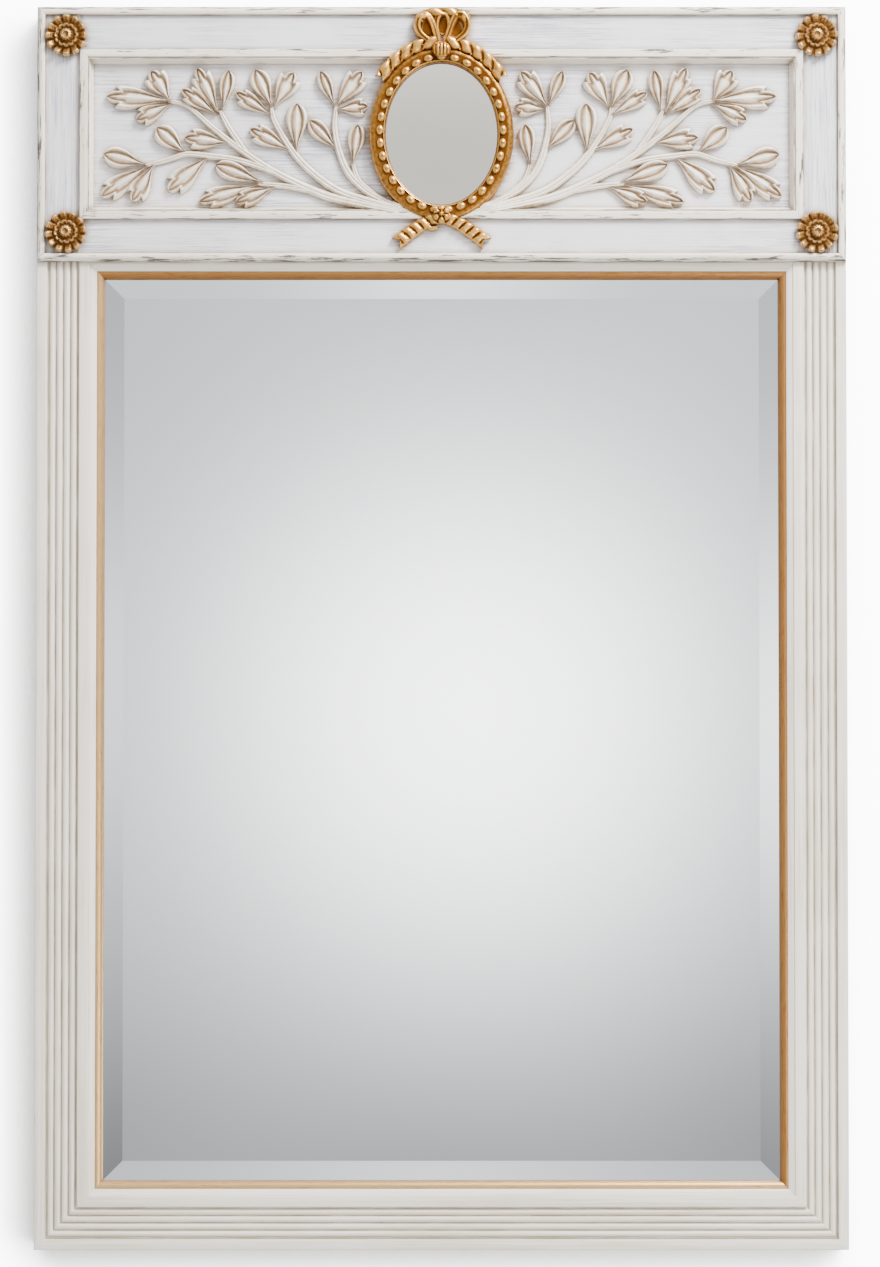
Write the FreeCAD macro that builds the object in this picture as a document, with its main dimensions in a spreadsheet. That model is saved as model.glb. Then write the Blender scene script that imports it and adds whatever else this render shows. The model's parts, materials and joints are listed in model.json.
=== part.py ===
import FreeCAD, Part
import math
import os

import Sketcher
from FreeCAD import Placement, Rotation, Vector

# Wall mirror: a reeded frame round a bevelled mirror, under a carved header with an oval mirror.
# The origin is the bottom centre of the wall plane, X is to the right, Z is up and the front faces -Y.
# A level is a distance in front of the wall plane, so a point at a level has that Y, negated.

SIZES = [
    # whole mirror
    ("overall_width", 812),
    ("overall_height", 1244),
    ("header_height", 257),
    ("frame_depth", 40),
    ("overrun", 4),
    ("fit_gap", 0.05),
    # reeded frame, from its outer edge inwards
    ("outer_fillet", 10.5),
    ("inner_fillet", 11),
    ("channel_depth", 4),
    ("channel_margin", 1.6),
    ("reed_count", 4),
    ("reed_pitch", 7.2),
    ("reed_width", 6.4),
    ("reed_rise", 2.6),
    ("slope_step", 1),
    ("slope_width", 6.5),
    ("slope_drop", 3),
    ("lip_thickness", 5),
    ("mirror_rebate", 10),
    ("board_rebate", 10),
    ("top_band", 9),
    # gilt slip round the mirror
    ("slip_width", 7.5),
    ("slip_tongue", 3),
    ("slip_sight", 1.2),
    ("slip_crown", 7.2),
    ("slip_crown_width", 1.5),
    ("slip_radius", 7),
    # mirror and backboard
    ("mirror_thickness", 5),
    ("mirror_gap", 2),
    ("bevel_width", 19.5),
    ("bevel_drop", 1.8),
    ("touch_gap", 0.1),
    ("backboard_thickness", 4),
    ("backboard_gap", 1),
    # dowels, mitre keys and backboard screws
    ("dowel_side_count", 8),
    ("screw_side_count", 6),
    ("dowel_diameter", 8),
    ("dowel_length", 60),
    ("dowel_level", 7),
    ("dowel_inset", 14),
    ("dowel_spacing", 20),
    ("dowel_end_gap", 1),
    ("key_thickness", 3),
    ("key_reach", 36),
    ("key_level", 10),
    ("board_screw_diameter", 3),
    ("board_screw_head", 6.4),
    ("board_screw_head_height", 1.8),
    ("board_screw_length", 13),
    ("board_screw_inset", 95),
    ("stile_screw_count", 4),
    ("rail_screw_count", 3),
    # header boards, panel and mouldings
    ("header_board", 46),
    ("edge_bead_width", 8),
    ("edge_bead_outer", 0.8),
    ("edge_bead_inner", 3.4),
    ("edge_bead_radius", 5),
    ("low_bead_rise", 1.6),
    ("header_border", 56),
    ("moulding_width", 13),
    ("moulding_flat", 7.5),
    ("moulding_rise", 4),
    ("moulding_quirk", 1),
    ("moulding_cove", 12),
    ("panel_setback", 8),
    ("panel_thickness", 8),
    ("groove_depth", 6),
    ("panel_gap", 1),
    ("tenon_inset", 13),
    ("tenon_width", 25),
    ("tenon_length", 28),
    ("tenon_thickness", 10),
    ("tenon_level", 13),
    ("tenon_end_gap", 1),
    # hanging rail, strap hangers and their rings
    ("hanging_rail_height", 72),
    ("hanging_rail_thickness", 12),
    ("hanging_rail_housing", 8),
    ("hanger_inset", 156),
    ("hanger_drop", 23),
    ("strap_width", 14),
    ("strap_length", 42),
    ("strap_end_radius", 8),
    ("strap_thickness", 1.6),
    ("ring_wire", 3.2),
    ("ring_inside_width", 20),
    ("ring_leg", 6),
    ("ring_corner", 2.8),
    ("ring_rest_gap", 0.3),
    ("ring_pin_gap", 0.12),
    ("loop_wall_count", 12),
    ("wire_side_count", 8),
    ("ring_bow_count", 8),
    ("ring_corner_count", 3),
    ("hanger_screw_first", 10),
    ("hanger_screw_second", 33),
    ("hanger_screw_diameter", 3.5),
    ("hanger_screw_length", 11),
    ("hanger_screw_head", 7),
    ("hanger_screw_head_height", 1.6),
    # rosettes
    ("rosette_diameter", 43),
    ("rosette_inset", 29.5),
    ("rosette_foot", 34),
    ("rosette_foot_height", 4.6),
    ("rosette_height", 13),
    ("petal_count", 12),
    ("boss_side_count", 16),
    ("petal_thickness", 3.6),
    # oval frame, its mirror and packing
    ("oval_width", 145),
    ("oval_height", 176),
    ("oval_section", 16.5),
    ("oval_rise", 18),
    ("oval_rebate", 11.5),
    ("oval_lip", 9),
    ("oval_side_count", 36),
    ("oval_mirror_thickness", 3),
    ("oval_mirror_gap", 0.5),
    ("pearl_count", 33),
    ("pearl_length", 9.4),
    ("pearl_width", 6.2),
    ("pearl_side_count", 6),
    # bow, ribbons and flower
    ("loop_width", 20),
    ("loop_height", 26),
    ("loop_spacing", 16.5),
    ("loop_side_count", 16),
    ("loop_lift", 20.5),
    ("ribbon_band", 5),
    ("bow_thickness", 10.5),
    ("knot_drop", 4),
    ("knot_width", 18),
    ("knot_height", 15),
    ("knot_thickness", 8),
    ("tail_width", 12),
    ("ribbon_width", 13),
    ("ribbon_reach", 52),
    ("ribbon_thickness", 6),
    ("ribbon_fold", 2.5),
    ("flower_diameter", 17.4),
    ("flower_height", 7),
    ("flower_petal_count", 6),
    # leaf sprays
    ("leaf_width", 18),
    ("leaf_rim", 3),
    ("leaf_ridge", 5.6),
    ("stem_width", 5),
    ("stem_relief", 5),
]

# Leaves on the left half of the panel. Across is the distance from the centre line as a share of half
# the panel's open width, and up is the height above its bottom edge as a share of its open height:
# foot across, foot up, tip across, tip up, then the leaf's width as a share of the widest.
LEAF_SHARES = [
    (0.777, 0.743, 0.956, 0.769, 1.10),
    (0.781, 0.741, 0.833, 0.940, 1.10),
    (0.777, 0.721, 0.873, 0.610, 0.83),
    (0.643, 0.659, 0.701, 0.955, 0.94),
    (0.646, 0.645, 0.742, 0.813, 0.78),
    (0.629, 0.672, 0.611, 0.950, 0.72),
    (0.611, 0.447, 0.733, 0.482, 0.94),
    (0.736, 0.375, 0.819, 0.552, 1.00),
    (0.850, 0.296, 0.970, 0.369, 1.00),
    (0.844, 0.286, 0.972, 0.082, 1.00),
    (0.827, 0.293, 0.887, 0.050, 0.95),
    (0.670, 0.351, 0.781, 0.121, 1.05),
    (0.513, 0.169, 0.649, 0.293, 0.94),
    (0.524, 0.155, 0.690, 0.040, 0.90),
    (0.479, 0.141, 0.587, 0.035, 0.70),
    (0.488, 0.638, 0.587, 0.792, 0.78),
    (0.488, 0.693, 0.535, 0.955, 0.95),
    (0.481, 0.693, 0.427, 0.928, 1.05),
    (0.418, 0.385, 0.415, 0.721, 1.00),
    (0.435, 0.397, 0.546, 0.539, 0.89),
    (0.307, 0.700, 0.348, 0.945, 0.67),
    (0.304, 0.700, 0.231, 0.934, 1.00),
    (0.300, 0.679, 0.215, 0.700, 0.80),
    (0.300, 0.400, 0.380, 0.602, 0.83),
    (0.255, 0.293, 0.240, 0.574, 0.80),
]

# Stems, each from its leafy end towards the knot: across and up as above, then shares of the stem's
# width and relief. The last points of the long stems climb over the panel moulding.
STEM_SHARES = [
    [(0.785, 0.738, 0.5, 0.7), (0.728, 0.700, 0.6, 0.8), (0.655, 0.546, 0.8, 0.9), (0.576, 0.397, 0.9, 1.0),
     (0.479, 0.243, 1.0, 1.0), (0.342, 0.088, 1.2, 1.0), (0.210, 0.003, 1.1, 1.9), (0.119, -0.045, 1.0, 3.3),
     (0.070, -0.077, 0.8, 3.3)],
    [(0.636, 0.670, 0.5, 0.7), (0.611, 0.552, 0.8, 0.8), (0.562, 0.375, 0.9, 0.9)],
    [(0.852, 0.285, 0.5, 0.7), (0.787, 0.328, 0.7, 0.8), (0.733, 0.369, 0.8, 0.9), (0.667, 0.355, 0.9, 0.9),
     (0.576, 0.321, 0.9, 1.0), (0.470, 0.235, 0.9, 1.0)],
    [(0.528, 0.162, 0.6, 0.7), (0.444, 0.144, 0.8, 0.9), (0.360, 0.105, 0.8, 0.9)],
    [(0.488, 0.693, 0.5, 0.7), (0.482, 0.610, 0.7, 0.8), (0.441, 0.433, 0.9, 0.9), (0.386, 0.272, 1.0, 1.0),
     (0.299, 0.116, 1.1, 1.0), (0.199, 0.031, 1.1, 1.6), (0.119, -0.021, 1.0, 3.3), (0.070, -0.055, 0.8, 3.3)],
    [(0.303, 0.705, 0.5, 0.7), (0.306, 0.514, 0.8, 0.9), (0.276, 0.272, 1.0, 1.0), (0.221, 0.121, 1.0, 1.0),
     (0.161, 0.038, 1.0, 1.5), (0.110, -0.005, 0.9, 3.3), (0.067, -0.036, 0.7, 3.3)],
    [(0.255, 0.300, 0.5, 0.7), (0.237, 0.179, 0.8, 0.9), (0.190, 0.080, 0.8, 1.0)],
]

# Form of a leaf: distance along it, half width as a share of its width, rim height, ridge height.
LEAF_FORM_SHARES = [(0.0, 0.09, 0.5, 0.7), (0.45, 0.30, 0.9, 1.0), (0.80, 0.50, 1.0, 0.9), (1.0, 0.13, 0.6, 0.5)]

# Form of a rosette petal: distance from the centre and half width as shares of the rosette's radius,
# then its thickness.
PETAL_SHARES = [(0.45, 0.10, 0.75), (0.80, 0.21, 1.0), (1.0, 0.12, 0.55)]

# Section of a rosette's boss: distance from the centre and height, as shares of the radius and height.
BOSS_SHARES = [(0.61, 0.50), (0.53, 0.81), (0.40, 0.68), (0.27, 1.0), (0.12, 0.74)]

# Section of the oval frame: inset and height as shares of its width and rise, from the outer edge in.
OVAL_FRONT_SHARES = [
    (0.0, 0.0), (0.0, 0.55), (0.13, 0.82), (0.32, 0.93), (0.46, 0.78), (0.85, 0.78), (0.88, 0.90), (1.0, 0.84),
]
PEARL_SEAT_SHARE = 0.66
PEARL_CROWN_SHARE = 0.5

# Top ribbon of the bow: across and up from the knot as shares of the loop height.
DRAPE_SHARES = [(-0.85, 1.30), (-0.45, 1.47), (0.0, 1.49), (0.45, 1.41), (0.95, 1.27)]

# Folds of a tail: how far each lies from the knot round the oval, as shares of a full turn, and their
# height in folds of the ribbon.
TAIL_SHARES = [
    (0.020, 1.0), (0.040, 0.3), (0.058, 1.0), (0.074, 0.2), (0.092, 1.0), (0.108, 0.1), (0.126, 0.9), (0.142, 0.0),
]

# Centre line of a crossed ribbon end from the flower, as shares of its reach, with its fold heights.
RIBBON_SHARES = [
    (0.16, -0.06, 1.0), (-0.16, -0.10, 0.6), (-0.34, -0.18, 1.0), (-0.50, -0.27, 0.2), (-0.60, -0.34, 0.8),
    (-0.70, -0.41, 0.0), (-0.80, -0.47, 0.6), (-0.90, -0.55, 0.0),
]

# Section of the flower: distance from the centre and height, as shares of the radius and height.
FLOWER_SHARES = [(1.0, 0.0), (0.95, 0.45), (0.55, 0.75), (0.35, 1.0)]
FLOWER_NOTCH_SHARE = 0.8

HALF_SHARE = 0.5
QUARTER_TURN = 90
FULL_TURN = 360

doc = FreeCAD.newDocument("WallMirror")


class Size:
    """A length from the sheet, or one worked out from such lengths, with the words that give it."""

    def __init__(self, value, text):
        self.value = value
        self.text = text

    def joined(self, sign, other, value):
        return Size(value, f"({self.text} {sign} {other.text})")

    def __add__(self, other):
        other = as_size(other)
        return self.joined("+", other, self.value + other.value)

    def __sub__(self, other):
        other = as_size(other)
        return self.joined("-", other, self.value - other.value)

    def __mul__(self, other):
        other = as_size(other)
        return self.joined("*", other, self.value * other.value)

    def __truediv__(self, other):
        other = as_size(other)
        return self.joined("/", other, self.value / other.value)

    def __neg__(self):
        return Size(-self.value, f"(-{self.text})")


def as_size(number):
    """A plain number as a size."""
    if isinstance(number, Size):
        return number
    return Size(float(number), repr(number))


class SizeBook:
    """Reads the sheet: S.frame_depth is the size of that name."""

    def __init__(self):
        self.sheet = doc.addObject("Spreadsheet::Sheet", "Sizes")
        for row, (name, value) in enumerate(SIZES, start=1):
            self.sheet.set(f"A{row}", name)
            self.sheet.set(f"B{row}", str(value))
            self.sheet.setAlias(f"B{row}", name)
        doc.recompute()

    def __getattr__(self, name):
        return Size(float(self.sheet.get(name)), f"Sizes.{name}")


S = SizeBook()
ZERO = as_size(0)

# Insets from the frame's outer edge, and levels, that follow from the sheet
half_width = S.overall_width * HALF_SHARE
header_foot = S.overall_height - S.header_height
channel_end = S.outer_fillet + S.reed_pitch * S.reed_count + S.channel_margin * 2
slope_start = channel_end + S.inner_fillet
lip_edge = slope_start + S.slope_width
mirror_shoulder = lip_edge - S.mirror_rebate
board_shoulder = mirror_shoulder - S.board_rebate
channel_level = S.frame_depth - S.channel_depth
slope_top = S.frame_depth - S.slope_step
lip_front = slope_top - S.slope_drop
lip_back = lip_front - S.lip_thickness
slip_back = lip_back - S.slip_tongue
slip_edge = lip_edge + S.slip_width
mirror_edge = mirror_shoulder + S.mirror_gap
bevel_end = slip_edge + S.bevel_width
mirror_front = slip_back - S.touch_gap + S.bevel_drop * S.bevel_width / (bevel_end - mirror_edge)
mirror_back = mirror_front - S.mirror_thickness
board_edge = board_shoulder + S.backboard_gap
board_back = mirror_back - S.backboard_thickness
board_screw_line = board_shoulder + S.board_rebate * HALF_SHARE
opening_top = header_foot - S.top_band
glazing_top = opening_top + lip_edge
panel_front = S.frame_depth - S.panel_setback
panel_back = panel_front - S.panel_thickness
moulding_start = S.header_border - S.moulding_width
moulding_level = S.frame_depth + S.moulding_rise
open_half_width = half_width - S.header_border
open_foot = header_foot + S.header_border
open_top = S.overall_height - S.header_border
open_height = open_top - open_foot
groove_start = S.header_board - S.groove_depth
oval_centre = (open_top + open_foot) * HALF_SHARE
oval_half_width = S.oval_width * HALF_SHARE
oval_half_height = S.oval_height * HALF_SHARE
oval_front = panel_front + S.oval_rise
rail_back = panel_back - S.hanging_rail_thickness
rail_top = open_top
rail_foot = rail_top - S.hanging_rail_height
pivot_height = rail_top - S.hanger_drop
loop_radius = S.ring_wire * HALF_SHARE + S.ring_pin_gap + S.strap_thickness
pivot_level = rail_back - loop_radius


# Sketches, pads and pockets


def origin_part(body, role):
    """The body's own plane or axis with this role."""
    return next(feature for feature in body.Origin.OriginFeatures if feature.Role == role)


def new_sketch(body, role, offset=ZERO):
    """A sketch on one of the body's origin planes, moved along that plane's normal."""
    sketch = body.newObject("Sketcher::SketchObject", f"{body.Name}_sketch")
    sketch.AttachmentSupport = [(origin_part(body, role), "")]
    sketch.MapMode = "FlatFace"
    sketch.AttachmentOffset = Placement(Vector(0, 0, offset.value), Rotation())
    sketch.setExpression("AttachmentOffset.Base.z", offset.text)
    return sketch


def bind(sketch, kind, *where, size):
    """Adds a driving dimension that follows the sheet."""
    number = sketch.addConstraint(Sketcher.Constraint(kind, *where, size.value))
    sketch.setExpression(f"Constraints[{number}]", size.text)


def bent_edge(start, end, radius):
    """The arc that turns to the left from one point to another."""
    chord = end - start
    normal = Vector(-chord.y, chord.x, 0).normalize()
    height = math.sqrt(radius ** 2 - (chord.Length / 2) ** 2)
    middle = (start + end) / 2 - normal * (radius - height)
    return Part.Arc(start, middle, end)


def draw_outline(sketch, corners):
    """Closes an outline. A corner is (x, y), and where its next edge is an arc (x, y, radius, turn):
    the arc turns to the left where turn is 1 and to the right where it is -1."""
    corners = [tuple(as_size(part) for part in corner) for corner in corners]
    points = [Vector(corner[0].value, corner[1].value, 0) for corner in corners]
    edges = []
    for number, corner in enumerate(corners):
        start = points[number]
        end = points[(number + 1) % len(points)]
        if len(corner) == 2:
            edges.append((sketch.addGeometry(Part.LineSegment(start, end)), 1, 2))
        elif corner[3].value > 0:
            edges.append((sketch.addGeometry(bent_edge(start, end, corner[2].value)), 1, 2))
        else:
            edges.append((sketch.addGeometry(bent_edge(end, start, corner[2].value)), 2, 1))
    for number, corner in enumerate(corners):
        index, start, end = edges[number]
        next_index, next_start, _ = edges[(number + 1) % len(edges)]
        sketch.addConstraint(Sketcher.Constraint("Coincident", index, end, next_index, next_start))
        bind(sketch, "DistanceX", -1, 1, index, start, size=corner[0])
        bind(sketch, "DistanceY", -1, 1, index, start, size=corner[1])
        if len(corner) > 2:
            bind(sketch, "Radius", index, size=corner[2])


def draw_polygon(sketch, x, y, radius, count):
    """An even-sided outline whose corners lie on a circle."""
    step = math.tau / count
    turns = [step * (number + HALF_SHARE) for number in range(count)]
    draw_outline(sketch, [(x + radius * math.cos(turn), y + radius * math.sin(turn)) for turn in turns])


def rectangle(left, right, low, high):
    """Corners of an upright rectangle."""
    return [(left, low), (right, low), (right, high), (left, high)]


def pad(body, sketch, length, backwards=False):
    """Adds the sketch's outline, drawn out along its normal."""
    feature = body.newObject("PartDesign::Pad", f"{body.Name}_pad")
    feature.Profile = sketch
    feature.Reversed = backwards
    feature.setExpression("Length", length.text)
    doc.recompute()
    return feature


def pocket(body, sketch, depth=None, forwards=False):
    """Cuts the sketch's outline to a depth, or right through both ways, and makes sure that it cut."""
    before = body.Shape.Volume
    feature = body.newObject("PartDesign::Pocket", f"{body.Name}_pocket")
    feature.Profile = sketch
    feature.Reversed = forwards
    if depth is None:
        feature.Type = "ThroughAll"
        feature.SideType = "Symmetric"
    else:
        feature.setExpression("Length", depth.text)
    doc.recompute()
    if not body.Shape.Volume < before:
        raise RuntimeError(f"{body.Label}: a pocket cut nothing")


def move(piece, x=ZERO, level=ZERO, z=ZERO, turn=Rotation()):
    """Puts a piece in place, and ties the place to the sheet."""
    piece.Placement = Placement(Vector(x.value, -level.value, z.value), turn)
    piece.setExpression("Placement.Base.x", x.text)
    piece.setExpression("Placement.Base.y", (-level).text)
    piece.setExpression("Placement.Base.z", z.text)


def mirrored(label, source):
    """The right-hand copy of a left-hand piece."""
    copy = doc.addObject("Part::Mirroring", label)
    copy.Source = source
    copy.Normal = Vector(1, 0, 0)
    return copy


# Strips of moulding. In a strip's own frame X is the inset from the frame's outer edge, Y is the level,
# negated, and Z runs along the strip, so one section serves every side of a frame.


def draw_mitre(sketch, length, reach, at_end):
    """The corner beyond the 45-degree line from the frame's outer corner, at either end of a strip."""
    far = reach + S.overrun
    if at_end:
        draw_outline(sketch, [(-S.overrun, length + S.overrun), (far, length - far), (far, length + S.overrun)])
    else:
        draw_outline(sketch, [(-S.overrun, -S.overrun), (far, -S.overrun), (far, far)])


def new_strip(label, section, length, start=ZERO):
    """A straight strip of the given section."""
    body = doc.addObject("PartDesign::Body", label)
    sketch = new_sketch(body, "XY_Plane", start)
    draw_outline(sketch, section)
    pad(body, sketch, length)
    return body


def cut_mitre(body, length, reach, at_end):
    """Cuts one end of a strip at 45 degrees."""
    sketch = new_sketch(body, "XZ_Plane")
    draw_mitre(sketch, length, reach, at_end)
    pocket(body, sketch)


def place_on_side(body, side, foot, top):
    """Lays a strip along one side of an upright frame as wide as the whole mirror."""
    if side == "left":
        move(body, x=-half_width, z=foot)
    if side == "bottom":
        move(body, x=half_width, z=foot, turn=Rotation(Vector(0, 1, 0), -QUARTER_TURN))
    if side == "top":
        move(body, x=-half_width, z=top, turn=Rotation(Vector(0, 1, 0), QUARTER_TURN))


def mitred_frame(name, section_of, foot, top, reach):
    """Four mitred strips round a frame, by side."""
    pieces = {}
    for side in ("left", "bottom", "top"):
        length = top - foot if side == "left" else S.overall_width
        body = new_strip(f"{name}_{side}", section_of(side), length)
        cut_mitre(body, length, reach, at_end=False)
        cut_mitre(body, length, reach, at_end=True)
        place_on_side(body, side, foot, top)
        pieces[side] = body
    pieces["right"] = mirrored(f"{name}_right", pieces["left"])
    return pieces


# Screws, dowels and the drills that make their holes


FORWARDS = Rotation(Vector(1, 0, 0), QUARTER_TURN)


def rod(label, sides, radius, length, x, level, z, turn=FORWARDS):
    """A straight rod of a few sides, which runs to the front unless it is turned."""
    piece = doc.addObject("Part::Prism", label)
    piece.setExpression("Polygon", sides.text)
    piece.setExpression("Circumradius", radius.text)
    piece.setExpression("Height", length.text)
    move(piece, x=x, level=level, z=z, turn=turn)
    return piece


def gather(label, pieces):
    """Like pieces as one group of separate solids."""
    group = doc.addObject("Part::Compound", label)
    group.Links = pieces
    return group


def drilled(label, blank, drill):
    """A piece with the holes that a group of rods makes in it."""
    piece = doc.addObject("Part::Cut", label)
    piece.Base = blank
    piece.Tool = drill
    doc.recompute()
    if not piece.Shape.Volume < blank.Shape.Volume:
        raise RuntimeError(f"{label}: a drill cut nothing")
    return piece


def make_screws(label, places, level, diameter, length, head, head_height):
    """Screws with their heads on the face at a level, and the drill for their holes."""
    screws = []
    rods = []
    for number, (x, z) in enumerate(places):
        sides = S.screw_side_count
        shank = rod(f"{label}_shank_{number}", sides, diameter * HALF_SHARE, length, x, level, z)
        dome = rod(f"{label}_head_{number}", sides, head * HALF_SHARE, head_height, x, level - head_height, z)
        screw = doc.addObject("Part::MultiFuse", f"{label}_{number}")
        screw.Shapes = [shank, dome]
        screws.append(screw)
        reach = length + S.touch_gap
        rods.append(rod(f"{label}_hole_{number}", sides, diameter * HALF_SHARE + S.fit_gap, reach, x, level, z))
    return gather(label, screws), gather(f"{label}_drill", rods)


def spread(count, start, end):
    """Evenly spaced places from start to end."""
    whole = int(round(count.value))
    step = (end - start) / (whole - 1)
    return [start + step * number for number in range(whole)]


def board_screw_places():
    """Places of the backboard's screws, over the middle of its seat on all four sides."""
    side = half_width - board_screw_line
    heights = spread(S.stile_screw_count, S.board_screw_inset, glazing_top - S.board_screw_inset)
    across = spread(S.rail_screw_count, S.board_screw_inset * 2 - half_width, half_width - S.board_screw_inset * 2)
    places = [(side * sign, height) for height in heights for sign in (-1, 1)]
    return places + [(x, z) for x in across for z in (board_screw_line, glazing_top - board_screw_line)]


def make_dowels():
    """Dowels that join the header to the two stiles below it, and the drill for their holes."""
    dowels = []
    rods = []
    half_length = S.dowel_length * HALF_SHARE
    radius = S.dowel_diameter * HALF_SHARE
    for inset in (S.dowel_inset, S.dowel_inset + S.dowel_spacing):
        for sign in (-1, 1):
            number = len(dowels)
            x = (half_width - inset) * sign
            sides = S.dowel_side_count
            dowels.append(rod(f"dowel_{number}", sides, radius, S.dowel_length, x, S.dowel_level,
                              header_foot - half_length, Rotation()))
            rods.append(rod(f"dowel_hole_{number}", sides, radius + S.fit_gap, S.dowel_length + S.dowel_end_gap * 2,
                            x, S.dowel_level, header_foot - half_length - S.dowel_end_gap, Rotation()))
    return gather("frame_dowels", dowels), gather("dowel_drill", rods)


def saw_key_slot(body, length, at_end):
    """The saw cut for a mitre key across one mitred end."""
    sketch = new_sketch(body, "XZ_Plane", S.key_level - S.fit_gap)
    far = S.key_reach + S.fit_gap + S.overrun
    if at_end:
        outer = length + S.overrun
        draw_outline(sketch, [(-S.overrun, outer), (far, outer), (-S.overrun, length - far)])
    else:
        draw_outline(sketch, [(-S.overrun, -S.overrun), (far, -S.overrun), (-S.overrun, far)])
    pocket(body, sketch, S.key_thickness + S.fit_gap * 2, forwards=True)


# Reeded frame


def add_reeds(body, length):
    """The row of half-round reeds in the channel."""
    sketch = new_sketch(body, "XY_Plane")
    half_reed = S.reed_width * HALF_SHARE
    centre = S.outer_fillet + S.channel_margin + S.reed_pitch * HALF_SHARE
    radius = (half_reed * half_reed + S.reed_rise * S.reed_rise) / (S.reed_rise * 2)
    draw_outline(sketch, [(centre - half_reed, -channel_level, radius, 1), (centre + half_reed, -channel_level)])
    reed = pad(body, sketch, length)
    row = body.newObject("PartDesign::LinearPattern", f"{body.Name}_reeds")
    row.Originals = [reed]
    row.Direction = (origin_part(body, "X_Axis"), [""])
    row.setExpression("Length", (S.reed_pitch * (S.reed_count - 1)).text)
    row.setExpression("Occurrences", S.reed_count.text)
    body.Tip = row
    doc.recompute()


def reeded_member(label, length):
    """A stile or rail of the reeded frame, with its rebates for the mirror and the backboard."""
    body = new_strip(label, [
        (ZERO, ZERO),
        (board_shoulder, ZERO),
        (board_shoulder, -mirror_back),
        (mirror_shoulder, -mirror_back),
        (mirror_shoulder, -lip_back),
        (lip_edge, -lip_back),
        (lip_edge, -lip_front),
        (slope_start, -slope_top),
        (slope_start, -S.frame_depth),
        (channel_end, -S.frame_depth),
        (channel_end, -channel_level),
        (S.outer_fillet, -channel_level),
        (S.outer_fillet, -S.frame_depth),
        (ZERO, -S.frame_depth),
    ], length)
    add_reeds(body, length)
    return body


def make_frame_stile(board_drill, dowel_drill):
    """Left stile: mitred at the foot, and at the top only its slope meets the top rail's."""
    body = reeded_member("stile_blank", header_foot)
    cut_mitre(body, header_foot, lip_edge, at_end=False)
    corner = new_sketch(body, "XZ_Plane")
    far = lip_edge + S.overrun
    draw_outline(corner, [
        (far, opening_top - S.overrun),
        (far, header_foot + S.overrun),
        (slope_start, header_foot + S.overrun),
        (slope_start, opening_top + S.slope_width),
    ])
    pocket(body, corner)
    saw_key_slot(body, header_foot, at_end=False)
    place_on_side(body, "left", ZERO, header_foot)
    bored = drilled("stile_bored_for_dowels", body, dowel_drill)
    return drilled("frame_stile_left", bored, board_drill)


def make_frame_bottom_rail(board_drill):
    """Bottom rail, mitred and keyed at both ends."""
    body = reeded_member("bottom_rail_blank", S.overall_width)
    for at_end in (False, True):
        cut_mitre(body, S.overall_width, lip_edge, at_end)
        saw_key_slot(body, S.overall_width, at_end)
    place_on_side(body, "bottom", ZERO, header_foot)
    return drilled("frame_bottom_rail", body, board_drill)


def make_frame_top_rail():
    """The plain lip under the header, mitred to the slopes of the stiles."""
    fillet = S.top_band - S.slope_width
    body = new_strip("frame_top_rail", [
        (ZERO, -lip_back),
        (S.top_band, -lip_back),
        (S.top_band, -lip_front),
        (fillet, -slope_top),
        (fillet, -S.frame_depth),
        (ZERO, -S.frame_depth),
    ], S.overall_width)
    far = S.top_band + S.overrun
    for start, sign in ((ZERO, 1), (S.overall_width, -1)):
        ends = new_sketch(body, "XZ_Plane")
        draw_outline(ends, [
            (-S.overrun, start - S.overrun * sign),
            (far, start - S.overrun * sign),
            (far, start + (lip_edge + S.overrun) * sign),
            (fillet, start + slope_start * sign),
            (-S.overrun, start + slope_start * sign),
        ])
        pocket(body, ends)
    place_on_side(body, "top", ZERO, header_foot)
    return body


def make_mitre_key():
    """The thin three-cornered key let into the left bottom mitre."""
    body = doc.addObject("PartDesign::Body", "mitre_key_left")
    sketch = new_sketch(body, "XZ_Plane", S.key_level)
    draw_outline(sketch, [(ZERO, ZERO), (S.key_reach, ZERO), (ZERO, S.key_reach)])
    pad(body, sketch, S.key_thickness)
    move(body, x=-half_width)
    return body


def slip_section(side):
    """The slip's tongue lies behind the frame's lip, and its rounded front fills the sight edge."""
    crown = slip_back + S.slip_crown
    return [
        (mirror_edge, -slip_back),
        (slip_edge, -slip_back),
        (slip_edge, -(slip_back + S.slip_sight), S.slip_radius, -1),
        (lip_edge + S.slip_crown_width, -crown),
        (lip_edge, -crown),
        (lip_edge, -lip_back),
        (mirror_edge, -lip_back),
    ]


# Mirror, backboard and their screws


def make_mirror():
    """Mirror plate: a flat back layer and a front whose four sides are bevelled."""
    edge_level = mirror_front - S.bevel_drop
    outer = half_width - mirror_edge
    inner = half_width - bevel_end
    back = doc.addObject("Part::Box", "mirror_back_layer")
    back.setExpression("Length", (outer * 2).text)
    back.setExpression("Width", (edge_level - mirror_back).text)
    back.setExpression("Height", (glazing_top - mirror_edge * 2).text)
    move(back, x=-outer, level=edge_level, z=mirror_edge)
    front = doc.addObject("Part::Wedge", "mirror_bevels")
    for name, size in (
        ("Ymin", -mirror_front), ("Xmin", -inner), ("Xmax", inner), ("Zmin", bevel_end),
        ("Zmax", glazing_top - bevel_end), ("Ymax", -edge_level), ("X2min", -outer), ("X2max", outer),
        ("Z2min", mirror_edge), ("Z2max", glazing_top - mirror_edge),
    ):
        setattr(front, name, size.value)
        front.setExpression(name, size.text)
    plate = doc.addObject("Part::MultiFuse", "mirror_glass")
    plate.Shapes = [back, front]
    plate.Refine = True
    return plate


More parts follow.
